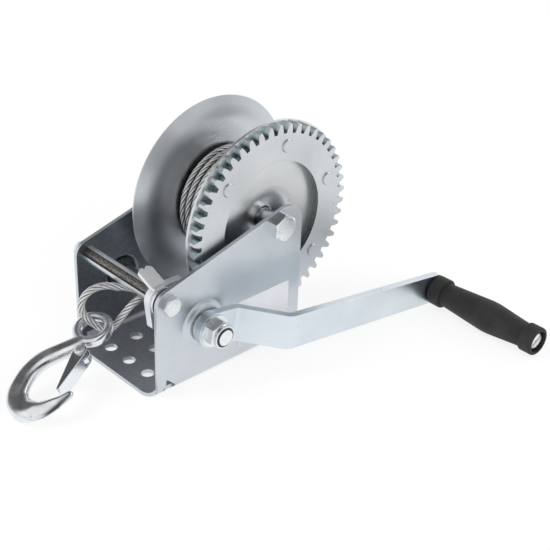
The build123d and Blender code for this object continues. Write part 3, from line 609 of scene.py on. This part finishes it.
# label: the outline at each level off the plate, closed by its first and last ring
def stickLabel(spec):
    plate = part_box("pinion_bush_near")[1].x - spec["bossHeight"]
    (y0, y1), (z0, z1) = spec["y"], spec["z"]
    rings = []
    for out, inset in spec["levels"]:
        width, height = y1 - y0 - 2 * inset, z1 - z0 - 2 * inset
        edge = roundedOutline(width, height, spec["corner"], spec["cornerPoints"])
        lift = np.full(len(edge), plate + out * spec["thick"])
        rings.append(np.column_stack([lift, (y0 + y1) / 2 + edge[:, 0], (z0 + z1) / 2 + edge[:, 1]]))
    return tubeMesh("blankLabel", np.array(rings)[None], np.zeros(len(rings)))


labelPiece = stickLabel(label)
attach(labelPiece, "frame")
print("label on")

# threads that show past the nuts on the far side
threads = {
    "pitch": 1.5 * mm,
    "depth": 0.32 * mm,
    "sides": 48,
    "turnRows": 12,
    "fade": 0.4 * mm,  # over which a thread runs out at each end
    "proud": 0.02 * mm,  # of the bolt, at the thread's root
    "sunk": 0.3 * mm,  # into the bolt, where the ends close
    "endGap": 0.2 * mm,  # from the bolt's end
    "intoNut": 0.3 * mm,
    "bolts": (("axleThread", "drum_axle_nut", "drum_axle_bolt", 6 * mm),
              ("spacerThread", "spacer_nut", "spacer_bolt", 4 * mm)),  # with each bolt's radius
}


# thread: radius plus depth times a saw of (x / pitch - angle / full turn), closed through the bolt
def threadSleeve(name, x0, x1, y, z, radius, spec):
    rows = int(np.ceil((x1 - x0) / spec["pitch"] * spec["turnRows"])) + 1
    x = np.linspace(x0, x1, rows)
    angle = np.arange(spec["sides"]) * tau / spec["sides"]
    phase = x[:, None] / spec["pitch"] - angle / tau
    saw = 1 - np.abs(2 * (phase - np.floor(phase)) - 1)
    fade = np.clip(np.minimum(x - x0, x1 - x) / spec["fade"], 0, 1)[:, None]
    out = radius + spec["proud"] + spec["depth"] * saw * fade
    closing = np.full((1, spec["sides"]), radius - spec["sunk"])
    shape = np.concatenate([closing, out, closing])
    spots = np.concatenate([[x0], x, [x1]])
    spread = np.broadcast_to(spots[:, None], shape.shape)
    ring = np.stack([spread, y + shape * np.cos(angle), z + shape * np.sin(angle)], -1)
    return tubeMesh(name, ring[None], spots - x0)


for name, nut, bolt, radius in threads["bolts"]:
    nutLow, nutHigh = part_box(nut)
    middle = (nutLow + nutHigh) / 2
    first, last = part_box(bolt)[0].x + threads["endGap"], nutLow.x + threads["intoNut"]
    piece = threadSleeve(name, first, last, middle.y, middle.z, radius, threads)
    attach(piece, "frame")
print("threads cut")


# shader helpers
noiseRough = 0.55  # how strong each finer noise is beside the last
bevelSamples = 6


def put(tree, kind, inputs=None, **settings):
    node = tree.nodes.new("ShaderNode" + kind)
    for key, value in settings.items():
        setattr(node, key, value)
    for key, value in (inputs or {}).items():
        if isinstance(value, bpy.types.NodeSocket):
            tree.links.new(value, node.inputs[key])
        else:
            node.inputs[key].default_value = value
    return node


def blankMaterial(name):
    material = bpy.data.materials.new(name)
    material.use_nodes = True
    material.node_tree.nodes.clear()
    return material, material.node_tree


def noise(tree, place, scale, detail):
    inputs = {"Vector": place, "Scale": scale, "Detail": detail, "Roughness": noiseRough}
    return put(tree, "TexNoise", inputs).outputs["Fac"]


def remap(tree, value, low, high, toLow=0.0, toHigh=1.0):
    inputs = {"Value": value, "From Min": low, "From Max": high, "To Min": toLow, "To Max": toHigh}
    return put(tree, "MapRange", inputs).outputs["Result"]


def maths(tree, operation, first, second=0.0):
    return put(tree, "Math", {0: first, 1: second}, operation=operation).outputs[0]


def blendColours(tree, share, first, second):
    def full(colour):
        return colour if isinstance(colour, bpy.types.NodeSocket) else (*colour, 1.0)
    return put(tree, "Mix", {0: share, 6: full(first), 7: full(second)}, data_type="RGBA").outputs[2]


def finishSurface(tree, colour, roughness, normal, metallic=1.0, **more):
    inputs = {"Base Color": colour, "Roughness": roughness, "Metallic": metallic, "Normal": normal, **more}
    shader = put(tree, "BsdfPrincipled", inputs)
    put(tree, "OutputMaterial", {"Surface": shader.outputs[0]})


# the way and the distance from a line along x
def awayFrom(tree, place, y, z):
    centred = put(tree, "Mapping", {"Vector": place, "Location": (0, -y, -z)}).outputs[0]
    flat = put(tree, "VectorMath", {0: centred, 1: (0, 1, 1)}, operation="MULTIPLY").outputs[0]
    return flat, put(tree, "VectorMath", {0: flat}, operation="LENGTH").outputs["Value"]


def product(tree, first, *others):
    for other in others:
        first = maths(tree, "MULTIPLY", first, other)
    return first


# places on a zinc piece that take another tone, most of them painted shade or painted light and the tooth
# flanks a tint, each a mask from 0 to 1; every pair runs from where the mask is 0 to where it is 1
plateMask = {
    "within": (45.4 * mm, 45.1 * mm),  # from the middle plane
    "flat": (0.3, 0.6),  # of a face's way, along x
    "farSide": (5 * mm, -5 * mm),
    "upward": (0.4, 0.7),  # of a face's way, along z
}
# where shade is painted in the pressed dents
dentShadeMask = {
    "below": (47.9 * mm, 47.5 * mm),  # from the middle plane, under the plate's outer face
    "outside": (45.2 * mm, 45.5 * mm),
    "middleY": -54.3 * mm,
    "reach": (6 * mm, 5 * mm),
    "top": (13 * mm, 12 * mm),
    "bottom": (2 * mm, 4 * mm),
}
gearLow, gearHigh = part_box("drum_gear")
gearReach = (gearHigh.z - gearLow.z) / 2
gearMask = {  # distances from the axle, each a depth below the teeth's tips
    "edgeOn": (0.7, 0.3),  # of a face's way, along x
    "belowTips": (gearReach - 0.4 * mm, gearReach - 1.2 * mm),
    "roots": (gearReach - 3 * mm, gearReach - 5.2 * mm),
    "aboveRim": (gearReach - 9 * mm, gearReach - 8 * mm),
    "withinRim": (gearReach - 8 * mm, gearReach - 9 * mm),
}


# a vector's share along an axis, and the same without its sign
def onAxis(tree, vector, axis):
    return put(tree, "SeparateXYZ", {0: vector}).outputs[axis]


def eitherWay(tree, vector, axis):
    return maths(tree, "ABSOLUTE", onAxis(tree, vector, axis))


def fromAxle(tree, place, key):
    return remap(tree, awayFrom(tree, place, axleY, axleZ)[1], *gearMask[key])


def betweenPlates(tree, place, facing):
    return remap(tree, eitherWay(tree, place, "X"), *plateMask["within"])


# painted shade: the far plate's inner face between the plates is darker
def shadedInnerWalls(tree, place, facing):
    flat = remap(tree, eitherWay(tree, facing, "X"), *plateMask["flat"])
    farSide = remap(tree, onAxis(tree, place, "X"), *plateMask["farSide"])
    return product(tree, betweenPlates(tree, place, facing), flat, farSide)


# painted light: the base's upward faces between the plates are lighter
def litBaseTop(tree, place, facing):
    upward = remap(tree, onAxis(tree, facing, "Z"), *plateMask["upward"])
    return product(tree, betweenPlates(tree, place, facing), upward)


# painted shade in the pressed dents, below the plate's outer face
def shadedDents(tree, place, facing):
    across = eitherWay(tree, place, "X")
    height = onAxis(tree, place, "Z")
    aside = maths(tree, "ABSOLUTE", maths(tree, "SUBTRACT", onAxis(tree, place, "Y"), dentShadeMask["middleY"]))
    spans = ((across, "below"), (across, "outside"), (aside, "reach"), (height, "top"), (height, "bottom"))
    return product(tree, *(remap(tree, value, *dentShadeMask[key]) for value, key in spans))


def edgeOn(tree, facing):
    return remap(tree, eitherWay(tree, facing, "X"), *gearMask["edgeOn"])


def toothFlanks(tree, place, facing):
    teeth = product(tree, fromAxle(tree, place, "belowTips"), fromAxle(tree, place, "aboveRim"))
    return product(tree, edgeOn(tree, facing), teeth)


# painted shade at the roots between the teeth
def shadedToothRoots(tree, place, facing):
    return product(tree, toothFlanks(tree, place, facing), fromAxle(tree, place, "roots"))


# painted shade on the ring's bore wall and the rivets' sides
def shadedRingWalls(tree, place, facing):
    return product(tree, edgeOn(tree, facing), fromAxle(tree, place, "withinRim"))


# zinc plate: slow clouds in colour and gloss, a faint grain, a rare dark pit, brighter worn edges, and the
# patches that a kind lists, most of them painted shade or painted light
zincBase = {
    "bright": (0.62, 0.66, 0.70),
    "dull": (0.56, 0.60, 0.64),
    "worn": (0.84, 0.87, 0.90),
    "gloss": 0.26,
    "satin": 0.34,
    "cloudScale": 22,
    "fineTimes": 14,  # finer than the clouds
    "fineShare": 0.1,
    "clouding": (0.34, 0.64),  # noise that is all dull, and all bright
    "speckle": (0.38, 0.62),
    "grain": (500, 40, 500),
    "grainDepth": 0.004 * mm,
    "grainRough": 0.03,
    "peelScale": 300,
    "peelDepth": 0.004 * mm,
    "pitScale": 210,
    "pitting": (0.79, 0.83),
    "pitTone": (0.14, 0.14, 0.14),
    "pitShare": 0.4,
    "edge": 0.45 * mm,
    "edgeTurn": (0.985, 0.86),  # cosine of the turn where wear starts, and where it is full
    "edgeRough": (0.3, 0.6, 0.6, 1.0),  # fine noise, and the wear left there
    "wornShare": 0.7,
    "spunAbout": None,  # y and z of the axis that a spun piece was turned on
    "spunScale": 500.0,
    "spunStretch": 0.15,
    "patches": (),  # mask, two tones and roughness of the places that differ
}
zincKinds = {
    # painted shade on the far plate's inner face
    "zincSheet": {"patches": ((shadedInnerWalls, (0.24, 0.265, 0.29), (0.29, 0.315, 0.34), 0.40),
                              # painted light on the base's top between the plates
                              (litBaseTop, (0.66, 0.68, 0.72), (0.74, 0.76, 0.79), 0.5),
                              # painted shade in the pressed dents
                              (shadedDents, (0.08, 0.09, 0.10), (0.14, 0.15, 0.16), 0.5))},
    "zincDrum": {"spunAbout": (axleY, axleZ), "bright": (0.64, 0.67, 0.70), "dull": (0.59, 0.62, 0.65)},
    # the drum's near half: a lighter copy of the drum's zinc, painted light
    "litZincDish": {"spunAbout": (axleY, axleZ), "bright": (0.70, 0.72, 0.73), "dull": (0.65, 0.67, 0.68)},
    "zincGear": {"bright": (0.66, 0.68, 0.70), "dull": (0.60, 0.62, 0.64), "gloss": 0.30, "satin": 0.40,
                 "patches": ((toothFlanks, (0.62, 0.73, 0.76), (0.84, 0.93, 0.96), 0.62),
                             # painted shade at the tooth roots
                             (shadedToothRoots, (0.10, 0.14, 0.15), (0.34, 0.42, 0.45), 0.55),
                             # painted shade on the ring's bore wall and the rivets' sides
                             (shadedRingWalls, (0.17, 0.20, 0.20), (0.23, 0.26, 0.26), 0.40)),
                 "grain": (500, 90, 90)},
    "zincBolt": {"bright": (0.84, 0.86, 0.87), "dull": (0.74, 0.76, 0.77), "gloss": 0.16, "satin": 0.28,
                 "cloudScale": 90, "grain": (300, 300, 300), "edge": 0.35 * mm},
    "zincSpacer": {"bright": (0.78, 0.80, 0.81), "dull": (0.66, 0.69, 0.70), "gloss": 0.16, "satin": 0.28,
                   "cloudScale": 90, "grain": (300, 300, 300),
                   # painted shade, speckled, on the shank between the plates
                   "patches": ((betweenPlates, (0.05, 0.05, 0.05), (0.40, 0.38, 0.36), 0.5),)},
    "zincCrank": {"bright": (0.72, 0.78, 0.83), "dull": (0.66, 0.72, 0.77), "gloss": 0.26, "satin": 0.34},
    "zincPawl": {"bright": (0.90, 0.92, 0.94), "dull": (0.85, 0.87, 0.90), "gloss": 0.46, "satin": 0.54},
    "zincLatch": {"bright": (0.86, 0.89, 0.92), "dull": (0.80, 0.83, 0.86), "gloss": 0.16, "satin": 0.24},
    "zincRivet": {"bright": (0.86, 0.88, 0.89), "dull": (0.80, 0.82, 0.83), "gloss": 0.30, "satin": 0.40,
                  "cloudScale": 90, "grain": (300, 300, 300), "edge": 3 * mm},
    "zincForged": {"bright": (0.86, 0.88, 0.90), "dull": (0.72, 0.75, 0.78), "gloss": 0.16, "satin": 0.30,
                   "cloudScale": 60, "grain": (220, 220, 220), "grainDepth": 0.02 * mm, "peelScale": 160,
                   "peelDepth": 0.04 * mm, "edge": 0.6 * mm},
}


def zincFinish(name, spec):
    material, tree = blankMaterial(name)
    place = put(tree, "TexCoord").outputs["Object"]
    facing = put(tree, "NewGeometry").outputs["Normal"]
    cloud = noise(tree, place, spec["cloudScale"], 3)
    fine = noise(tree, place, spec["cloudScale"] * spec["fineTimes"], 3)
    spun = {}
    if spec["spunAbout"]:
        away = awayFrom(tree, place, *spec["spunAbout"])[1]
        spun["Anisotropic"] = spec["spunStretch"]
        spot = put(tree, "NewGeometry").outputs["Position"]
        spun["Tangent"] = awayFrom(tree, spot, *spec["spunAbout"])[0]
        outward = maths(tree, "MULTIPLY", away, spec["spunScale"])
        stretched = put(tree, "CombineXYZ", {"X": outward}).outputs[0]
    else:
        stretched = put(tree, "Mapping", {"Vector": place, "Scale": spec["grain"]}).outputs[0]
    grain = noise(tree, stretched, 1.0, 2)
    peel = noise(tree, place, spec["peelScale"], 2)
    pits = remap(tree, noise(tree, place, spec["pitScale"], 1), *spec["pitting"])
    rounded = put(tree, "Bevel", {"Radius": spec["edge"]}, samples=bevelSamples).outputs[0]
    level = put(tree, "VectorMath", {0: rounded, 1: facing}, operation="DOT_PRODUCT").outputs["Value"]
    edge = product(tree, remap(tree, level, *spec["edgeTurn"]), remap(tree, fine, *spec["edgeRough"]))
    slow = maths(tree, "MULTIPLY", cloud, 1 - spec["fineShare"])
    share = maths(tree, "ADD", slow, maths(tree, "MULTIPLY", fine, spec["fineShare"]))
    share = remap(tree, share, *spec["clouding"])
    colour = blendColours(tree, share, spec["dull"], spec["bright"])
    roughness = remap(tree, share, 0.0, 1.0, spec["satin"], spec["gloss"])
    roughness = maths(tree, "ADD", roughness, maths(tree, "MULTIPLY", grain, spec["grainRough"]))
    speckle = remap(tree, fine, *spec["speckle"])
    for mask, dark, light, rough in spec["patches"]:
        where = mask(tree, place, facing)
        colour = blendColours(tree, where, colour, blendColours(tree, speckle, dark, light))
        roughness = put(tree, "Mix", {0: where, 2: roughness, 3: rough}).outputs[0]
    colour = blendColours(tree, maths(tree, "MULTIPLY", pits, spec["pitShare"]), colour, spec["pitTone"])
    colour = blendColours(tree, maths(tree, "MULTIPLY", edge, spec["wornShare"]), colour, spec["worn"])
    low = put(tree, "Bump", {"Height": peel, "Distance": spec["peelDepth"], "Normal": rounded}).outputs[0]
    normal = put(tree, "Bump", {"Height": grain, "Distance": spec["grainDepth"], "Normal": low}).outputs[0]
    finishSurface(tree, colour, roughness, normal, **spun)
    return material


# wires in a strand: fine ridges that lean round each strand, from its own uv, with painted shade between
# the wires and where a strand meets its neighbours, and noise dirt in the same dark tone
wireLook = {
    "wires": 9,
    "lean": 260,  # ridges met in a metre along a strand
    "bright": (0.82, 0.82, 0.82),
    "dull": (0.40, 0.40, 0.41),
    "crest": (0.0, 0.6),  # of a ridge, from dull to bright
    "shadeAndDirt": (0.05, 0.05, 0.052),
    "outside": (0.15, 0.75),  # cosine round the strand, from full painted shade to none
    "dirtScale": 160,
    "dirt": (0.52, 0.75, 0.0, 0.3),  # noise, and the groove's tone that it adds
    "rough": (0.3, 0.7, 0.26, 0.42),  # noise, and the roughness that it gives
    "depth": 0.04 * mm,
    "metal": 0.75,
    "gapShade": None,  # distances from the drum's axis over which painted shade darkens the gaps between turns
}
woundLook = {**wireLook, "gapShade": (41.2 * mm, 39.6 * mm)}


def wireFinish(name, spec):
    material, tree = blankMaterial(name)
    coordinates = put(tree, "TexCoord")
    split = put(tree, "SeparateXYZ", {0: coordinates.outputs["UV"]})
    along = maths(tree, "MULTIPLY", split.outputs["X"], spec["lean"])
    around = maths(tree, "MULTIPLY", split.outputs["Y"], float(spec["wires"]))
    phase = maths(tree, "MULTIPLY", maths(tree, "ADD", along, around), tau)
    ridge = remap(tree, maths(tree, "SINE", phase), -1.0, 1.0)
    outer = maths(tree, "COSINE", maths(tree, "MULTIPLY", split.outputs["Y"], tau))  # 1 at the outside
    dirt = noise(tree, coordinates.outputs["Object"], spec["dirtScale"], 4)
    # painted shade between the wires, brighter on their crests
    colour = blendColours(tree, remap(tree, ridge, *spec["crest"]), spec["dull"], spec["bright"])
    colour = blendColours(tree, remap(tree, dirt, *spec["dirt"]), colour, spec["shadeAndDirt"])
    # painted shade where a strand meets its neighbours
    colour = blendColours(tree, remap(tree, outer, *spec["outside"]), spec["shadeAndDirt"], colour)
    # painted shade in the gaps between turns, and over all of the layer under them
    if spec["gapShade"]:
        away = awayFrom(tree, coordinates.outputs["Object"], axleY, axleZ)[1]
        colour = blendColours(tree, remap(tree, away, *spec["gapShade"]), colour, spec["shadeAndDirt"])
    roughness = remap(tree, dirt, *spec["rough"])
    normal = put(tree, "Bump", {"Height": ridge, "Distance": spec["depth"]}).outputs[0]
    finishSurface(tree, colour, roughness, normal, spec["metal"])
    return material


# plain metals and plastics: two tones through noise, a fine skin and rounded edges
plainBase = {"metal": 0.0, "toning": (0.35, 0.65)}
plainKinds = {
    "springSteel": {"light": (0.60, 0.61, 0.62), "dark": (0.42, 0.43, 0.44), "rough": (0.22, 0.36),
                    "metal": 1.0, "scale": 180, "skin": 900, "depth": 0.01 * mm, "edge": 0.1 * mm},
    "ferruleMetal": {"light": (0.74, 0.74, 0.74), "dark": (0.60, 0.60, 0.60), "rough": (0.28, 0.42),
                     "metal": 1.0, "scale": 140, "skin": 700, "depth": 0.02 * mm, "edge": 0.3 * mm},
    "darkBush": {"light": (0.10, 0.10, 0.11), "dark": (0.05, 0.05, 0.055), "rough": (0.32, 0.5),
                 "metal": 0.7, "scale": 200, "skin": 1500, "depth": 0.015 * mm, "edge": 0.2 * mm},
    "nylonRing": {"light": (0.020, 0.022, 0.030), "dark": (0.010, 0.011, 0.016), "rough": (0.35, 0.5),
                  "scale": 150, "skin": 1200, "depth": 0.01 * mm, "edge": 0.2 * mm},
    "blackGrip": {"light": (0.017, 0.017, 0.017), "dark": (0.010, 0.010, 0.010), "rough": (0.62, 0.72),
                  "scale": 70, "skin": 1700, "depth": 0.03 * mm, "edge": 0.6 * mm},
    "labelWhite": {"light": (0.74, 0.73, 0.77), "dark": (0.70, 0.69, 0.73), "rough": (0.30, 0.44),
                   "scale": 55, "skin": 800, "depth": 0.004 * mm, "edge": 0.1 * mm},
}


def plainFinish(name, spec):
    material, tree = blankMaterial(name)
    place = put(tree, "TexCoord").outputs["Object"]
    tone = remap(tree, noise(tree, place, spec["scale"], 4), *spec["toning"])
    skin = noise(tree, place, spec["skin"], 2)
    colour = blendColours(tree, tone, spec["dark"], spec["light"])
    roughness = remap(tree, tone, 0.0, 1.0, spec["rough"][1], spec["rough"][0])
    rounded = put(tree, "Bevel", {"Radius": spec["edge"]}, samples=bevelSamples).outputs[0]
    normal = put(tree, "Bump", {"Height": skin, "Distance": spec["depth"], "Normal": rounded}).outputs[0]
    finishSurface(tree, colour, roughness, normal, spec["metal"])
    return material


finishes = {name: zincFinish(name, {**zincBase, **spec}) for name, spec in zincKinds.items()}
finishes.update({name: plainFinish(name, {**plainBase, **spec}) for name, spec in plainKinds.items()})
finishes["wireRope"] = wireFinish("wireRope", wireLook)
finishes["woundRope"] = wireFinish("woundRope", woundLook)
print("finishes mixed:", len(finishes))

wearing = {
    "zincSheet": ("frame", "spacer_tube", "pawl_sleeve"),
    "zincDrum": ("drum_far_half",),
    "litZincDish": ("drum_near_half",),
    "zincGear": ("drum_gear", "pinion_gear", "gear_rivets"),
    "zincSpacer": ("spacer_bolt",),
    "zincBolt": ("drum_axle_bolt", "drum_axle_washer", "drum_axle_nut", "spacer_nut", "drum_sleeve",
                 "pinion_shaft", "thrust_washer", "crank_washer", "crank_nut", "grip_nut",
                 "pawl_washer", "axleThread", "spacerThread"),
    "zincRivet": ("latch_rivet", "grip_bolt"),
    "zincCrank": ("crank_arm",),
    "zincPawl": ("pawl",),
    "zincLatch": ("foldedLatch",),
    "zincForged": ("forgedHook",),
    "springSteel": ("shaft_clip", "latchSpring"),
    "ferruleMetal": ("ropeFerrule",),
    "darkBush": ("pinion_bush_near", "pinion_bush_far"),
    "nylonRing": ("crank_nut_ring",),
    "blackGrip": ("grip",),
    "labelWhite": ("blankLabel",),
    "wireRope": ("ropeLead",),
    "woundRope": ("ropeWinding", "ropeUnderLayer"),
}
for finish, names in wearing.items():
    for name in names:
        data = bpy.data.objects[name].data
        data.materials.clear()
        data.materials.append(finishes[finish])
print("finishes on")

# white table and soft studio light
stage = {
    "floorSize": 30.0,
    "floorRows": 8,
    "floorDrop": 0.3 * mm,  # under the base
    "floorWhite": (0.86, 0.86, 0.86),
    "floorGlow": 0.84,  # share of plain white that the eye and mirrors see
    "underBase": {  # where the base shades the table
        "x": (46 * mm, 36 * mm),
        "front": (-62 * mm, -20 * mm),
        "back": (70 * mm, 60 * mm),
        "less": 0.9,
    },
    "walls": (1.0, 1.0, 1.0),
    "ceiling": 0.07,  # of the walls' light
    "ceilingFrom": 26,  # degrees above level where the ceiling starts, and where it is all dark
    "ceilingTo": 46,
    "openings": (  # ways to where no wall stands, the light left there, and degrees off that way
        {"way": (0.74, -0.48, 0.47), "light": 0.15, "from": 40, "to": 20},
        {"way": (0.74, 0.65, 0.14), "light": 0.40, "from": 30, "to": 10},
    ),
    "panels": (  # ways to bright panels high on the walls, and degrees off that way
        {"way": (0.0, -0.5, 0.866), "from": 32, "to": 22},
        {"way": (0.64, 0.42, 0.64), "from": 24, "to": 14},
        {"way": (0.52, -0.72, 0.46), "from": 20, "to": 12},
    ),
    "lamps": {
        "key": {"from": (-0.9, -1.3, 1.9), "size": 1.4, "power": 34, "mirrored": False,
                "colour": (1.0, 0.99, 0.97)},
        "side": {"from": (1.7, -0.2, 1.1), "size": 1.2, "power": 22, "mirrored": False,
                 "colour": (0.97, 0.99, 1.0)},
        "back": {"from": (0.3, 1.8, 1.5), "size": 1.4, "power": 14, "mirrored": True,
                 "colour": (1.0, 1.0, 1.0)},
    },
    "aim": (0.03, 0.0, 0.08),
}


# 1 for what the eye sees, also in a mirror or through glass
def seenDirectly(tree):
    rays = put(tree, "LightPath").outputs
    either = maths(tree, "MAXIMUM", rays["Is Camera Ray"], rays["Is Glossy Ray"])
    return maths(tree, "MAXIMUM", either, rays["Is Transmission Ray"])


# floor: a flat square grid just under the base
def layFloor(spec):
    rows = spec["floorRows"]
    reach = np.linspace(-spec["floorSize"] / 2, spec["floorSize"] / 2, rows + 1)
    x, y = np.meshgrid(reach, reach)
    points = np.stack([x, y, np.full_like(x, -spec["floorDrop"])], -1)
    r, c = np.meshgrid(np.arange(rows), np.arange(rows), indexing="ij")
    first = r * (rows + 1) + c
    quads = np.stack([first, first + 1, first + rows + 2, first + rows + 1], -1).reshape(-1, 4)
    floor = showMesh("floor", points, quads.tolist())
    material, tree = blankMaterial("paleTable")
    lit = put(tree, "BsdfDiffuse", {"Color": (*spec["floorWhite"], 1)}).outputs[0]
    glow = put(tree, "Emission", {"Color": (1, 1, 1, 1), "Strength": 1.0}).outputs[0]
    x, y, _ = put(tree, "SeparateXYZ", {0: put(tree, "TexCoord").outputs["Object"]}).outputs
    under = spec["underBase"]
    covered = remap(tree, maths(tree, "ABSOLUTE", x), *under["x"])
    for key in ("front", "back"):
        covered = maths(tree, "MULTIPLY", covered, remap(tree, y, *under[key]))
    shown = maths(tree, "SUBTRACT", 1.0, maths(tree, "MULTIPLY", covered, under["less"]))
    share = product(tree, seenDirectly(tree), shown, spec["floorGlow"])
    mixed = put(tree, "MixShader", {0: share, 1: lit, 2: glow}).outputs[0]
    put(tree, "OutputMaterial", {"Surface": mixed})
    material.cycles.emission_sampling = "NONE"
    floor.data.materials.append(material)


# light that changes within so many degrees of a way
def lookingAt(tree, way, spot, outside, inside):
    middle = Vector(spot["way"]).normalized()
    turned = put(tree, "VectorMath", {0: way, 1: middle}, operation="DOT_PRODUCT").outputs["Value"]
    near = [cos(radians(spot[key])) for key in ("from", "to")]
    return remap(tree, turned, *near, outside, inside)


def lightStudio(spec):
    world = bpy.data.worlds.new("studio")
    world.use_nodes = True
    tree = world.node_tree
    tree.nodes.clear()
    way = put(tree, "TexCoord").outputs["Generated"]
    height = put(tree, "SeparateXYZ", {0: way}).outputs["Z"]
    rise = [sin(radians(spec[key])) for key in ("ceilingFrom", "ceilingTo")]
    walls = remap(tree, height, *rise, 1.0, spec["ceiling"])
    for gap in spec["openings"]:
        walls = maths(tree, "MULTIPLY", walls, lookingAt(tree, way, gap, 1.0, gap["light"]))
    for panel in spec["panels"]:
        walls = maths(tree, "MAXIMUM", walls, lookingAt(tree, way, panel, 0.0, 1.0))
    strength = maths(tree, "MAXIMUM", walls, put(tree, "LightPath").outputs["Is Camera Ray"])
    sky = put(tree, "Background", {"Color": (*spec["walls"], 1), "Strength": strength}).outputs[0]
    put(tree, "OutputWorld", {"Surface": sky})
    scene.world = world
    for name, lamp in spec["lamps"].items():
        data = bpy.data.lights.new(name, "AREA")
        data.size = lamp["size"]
        data.energy = lamp["power"]
        data.color = lamp["colour"]
        obj = bpy.data.objects.new(name, data)
        obj.location = lamp["from"]
        obj.visible_glossy = lamp["mirrored"]
        obj.rotation_euler = (Vector(spec["aim"]) - obj.location).to_track_quat("-Z", "Y").to_euler()
        scene.collection.objects.link(obj)


layFloor(stage)
lightStudio(stage)
scene.view_settings.view_transform = "Standard"
print("studio lit")
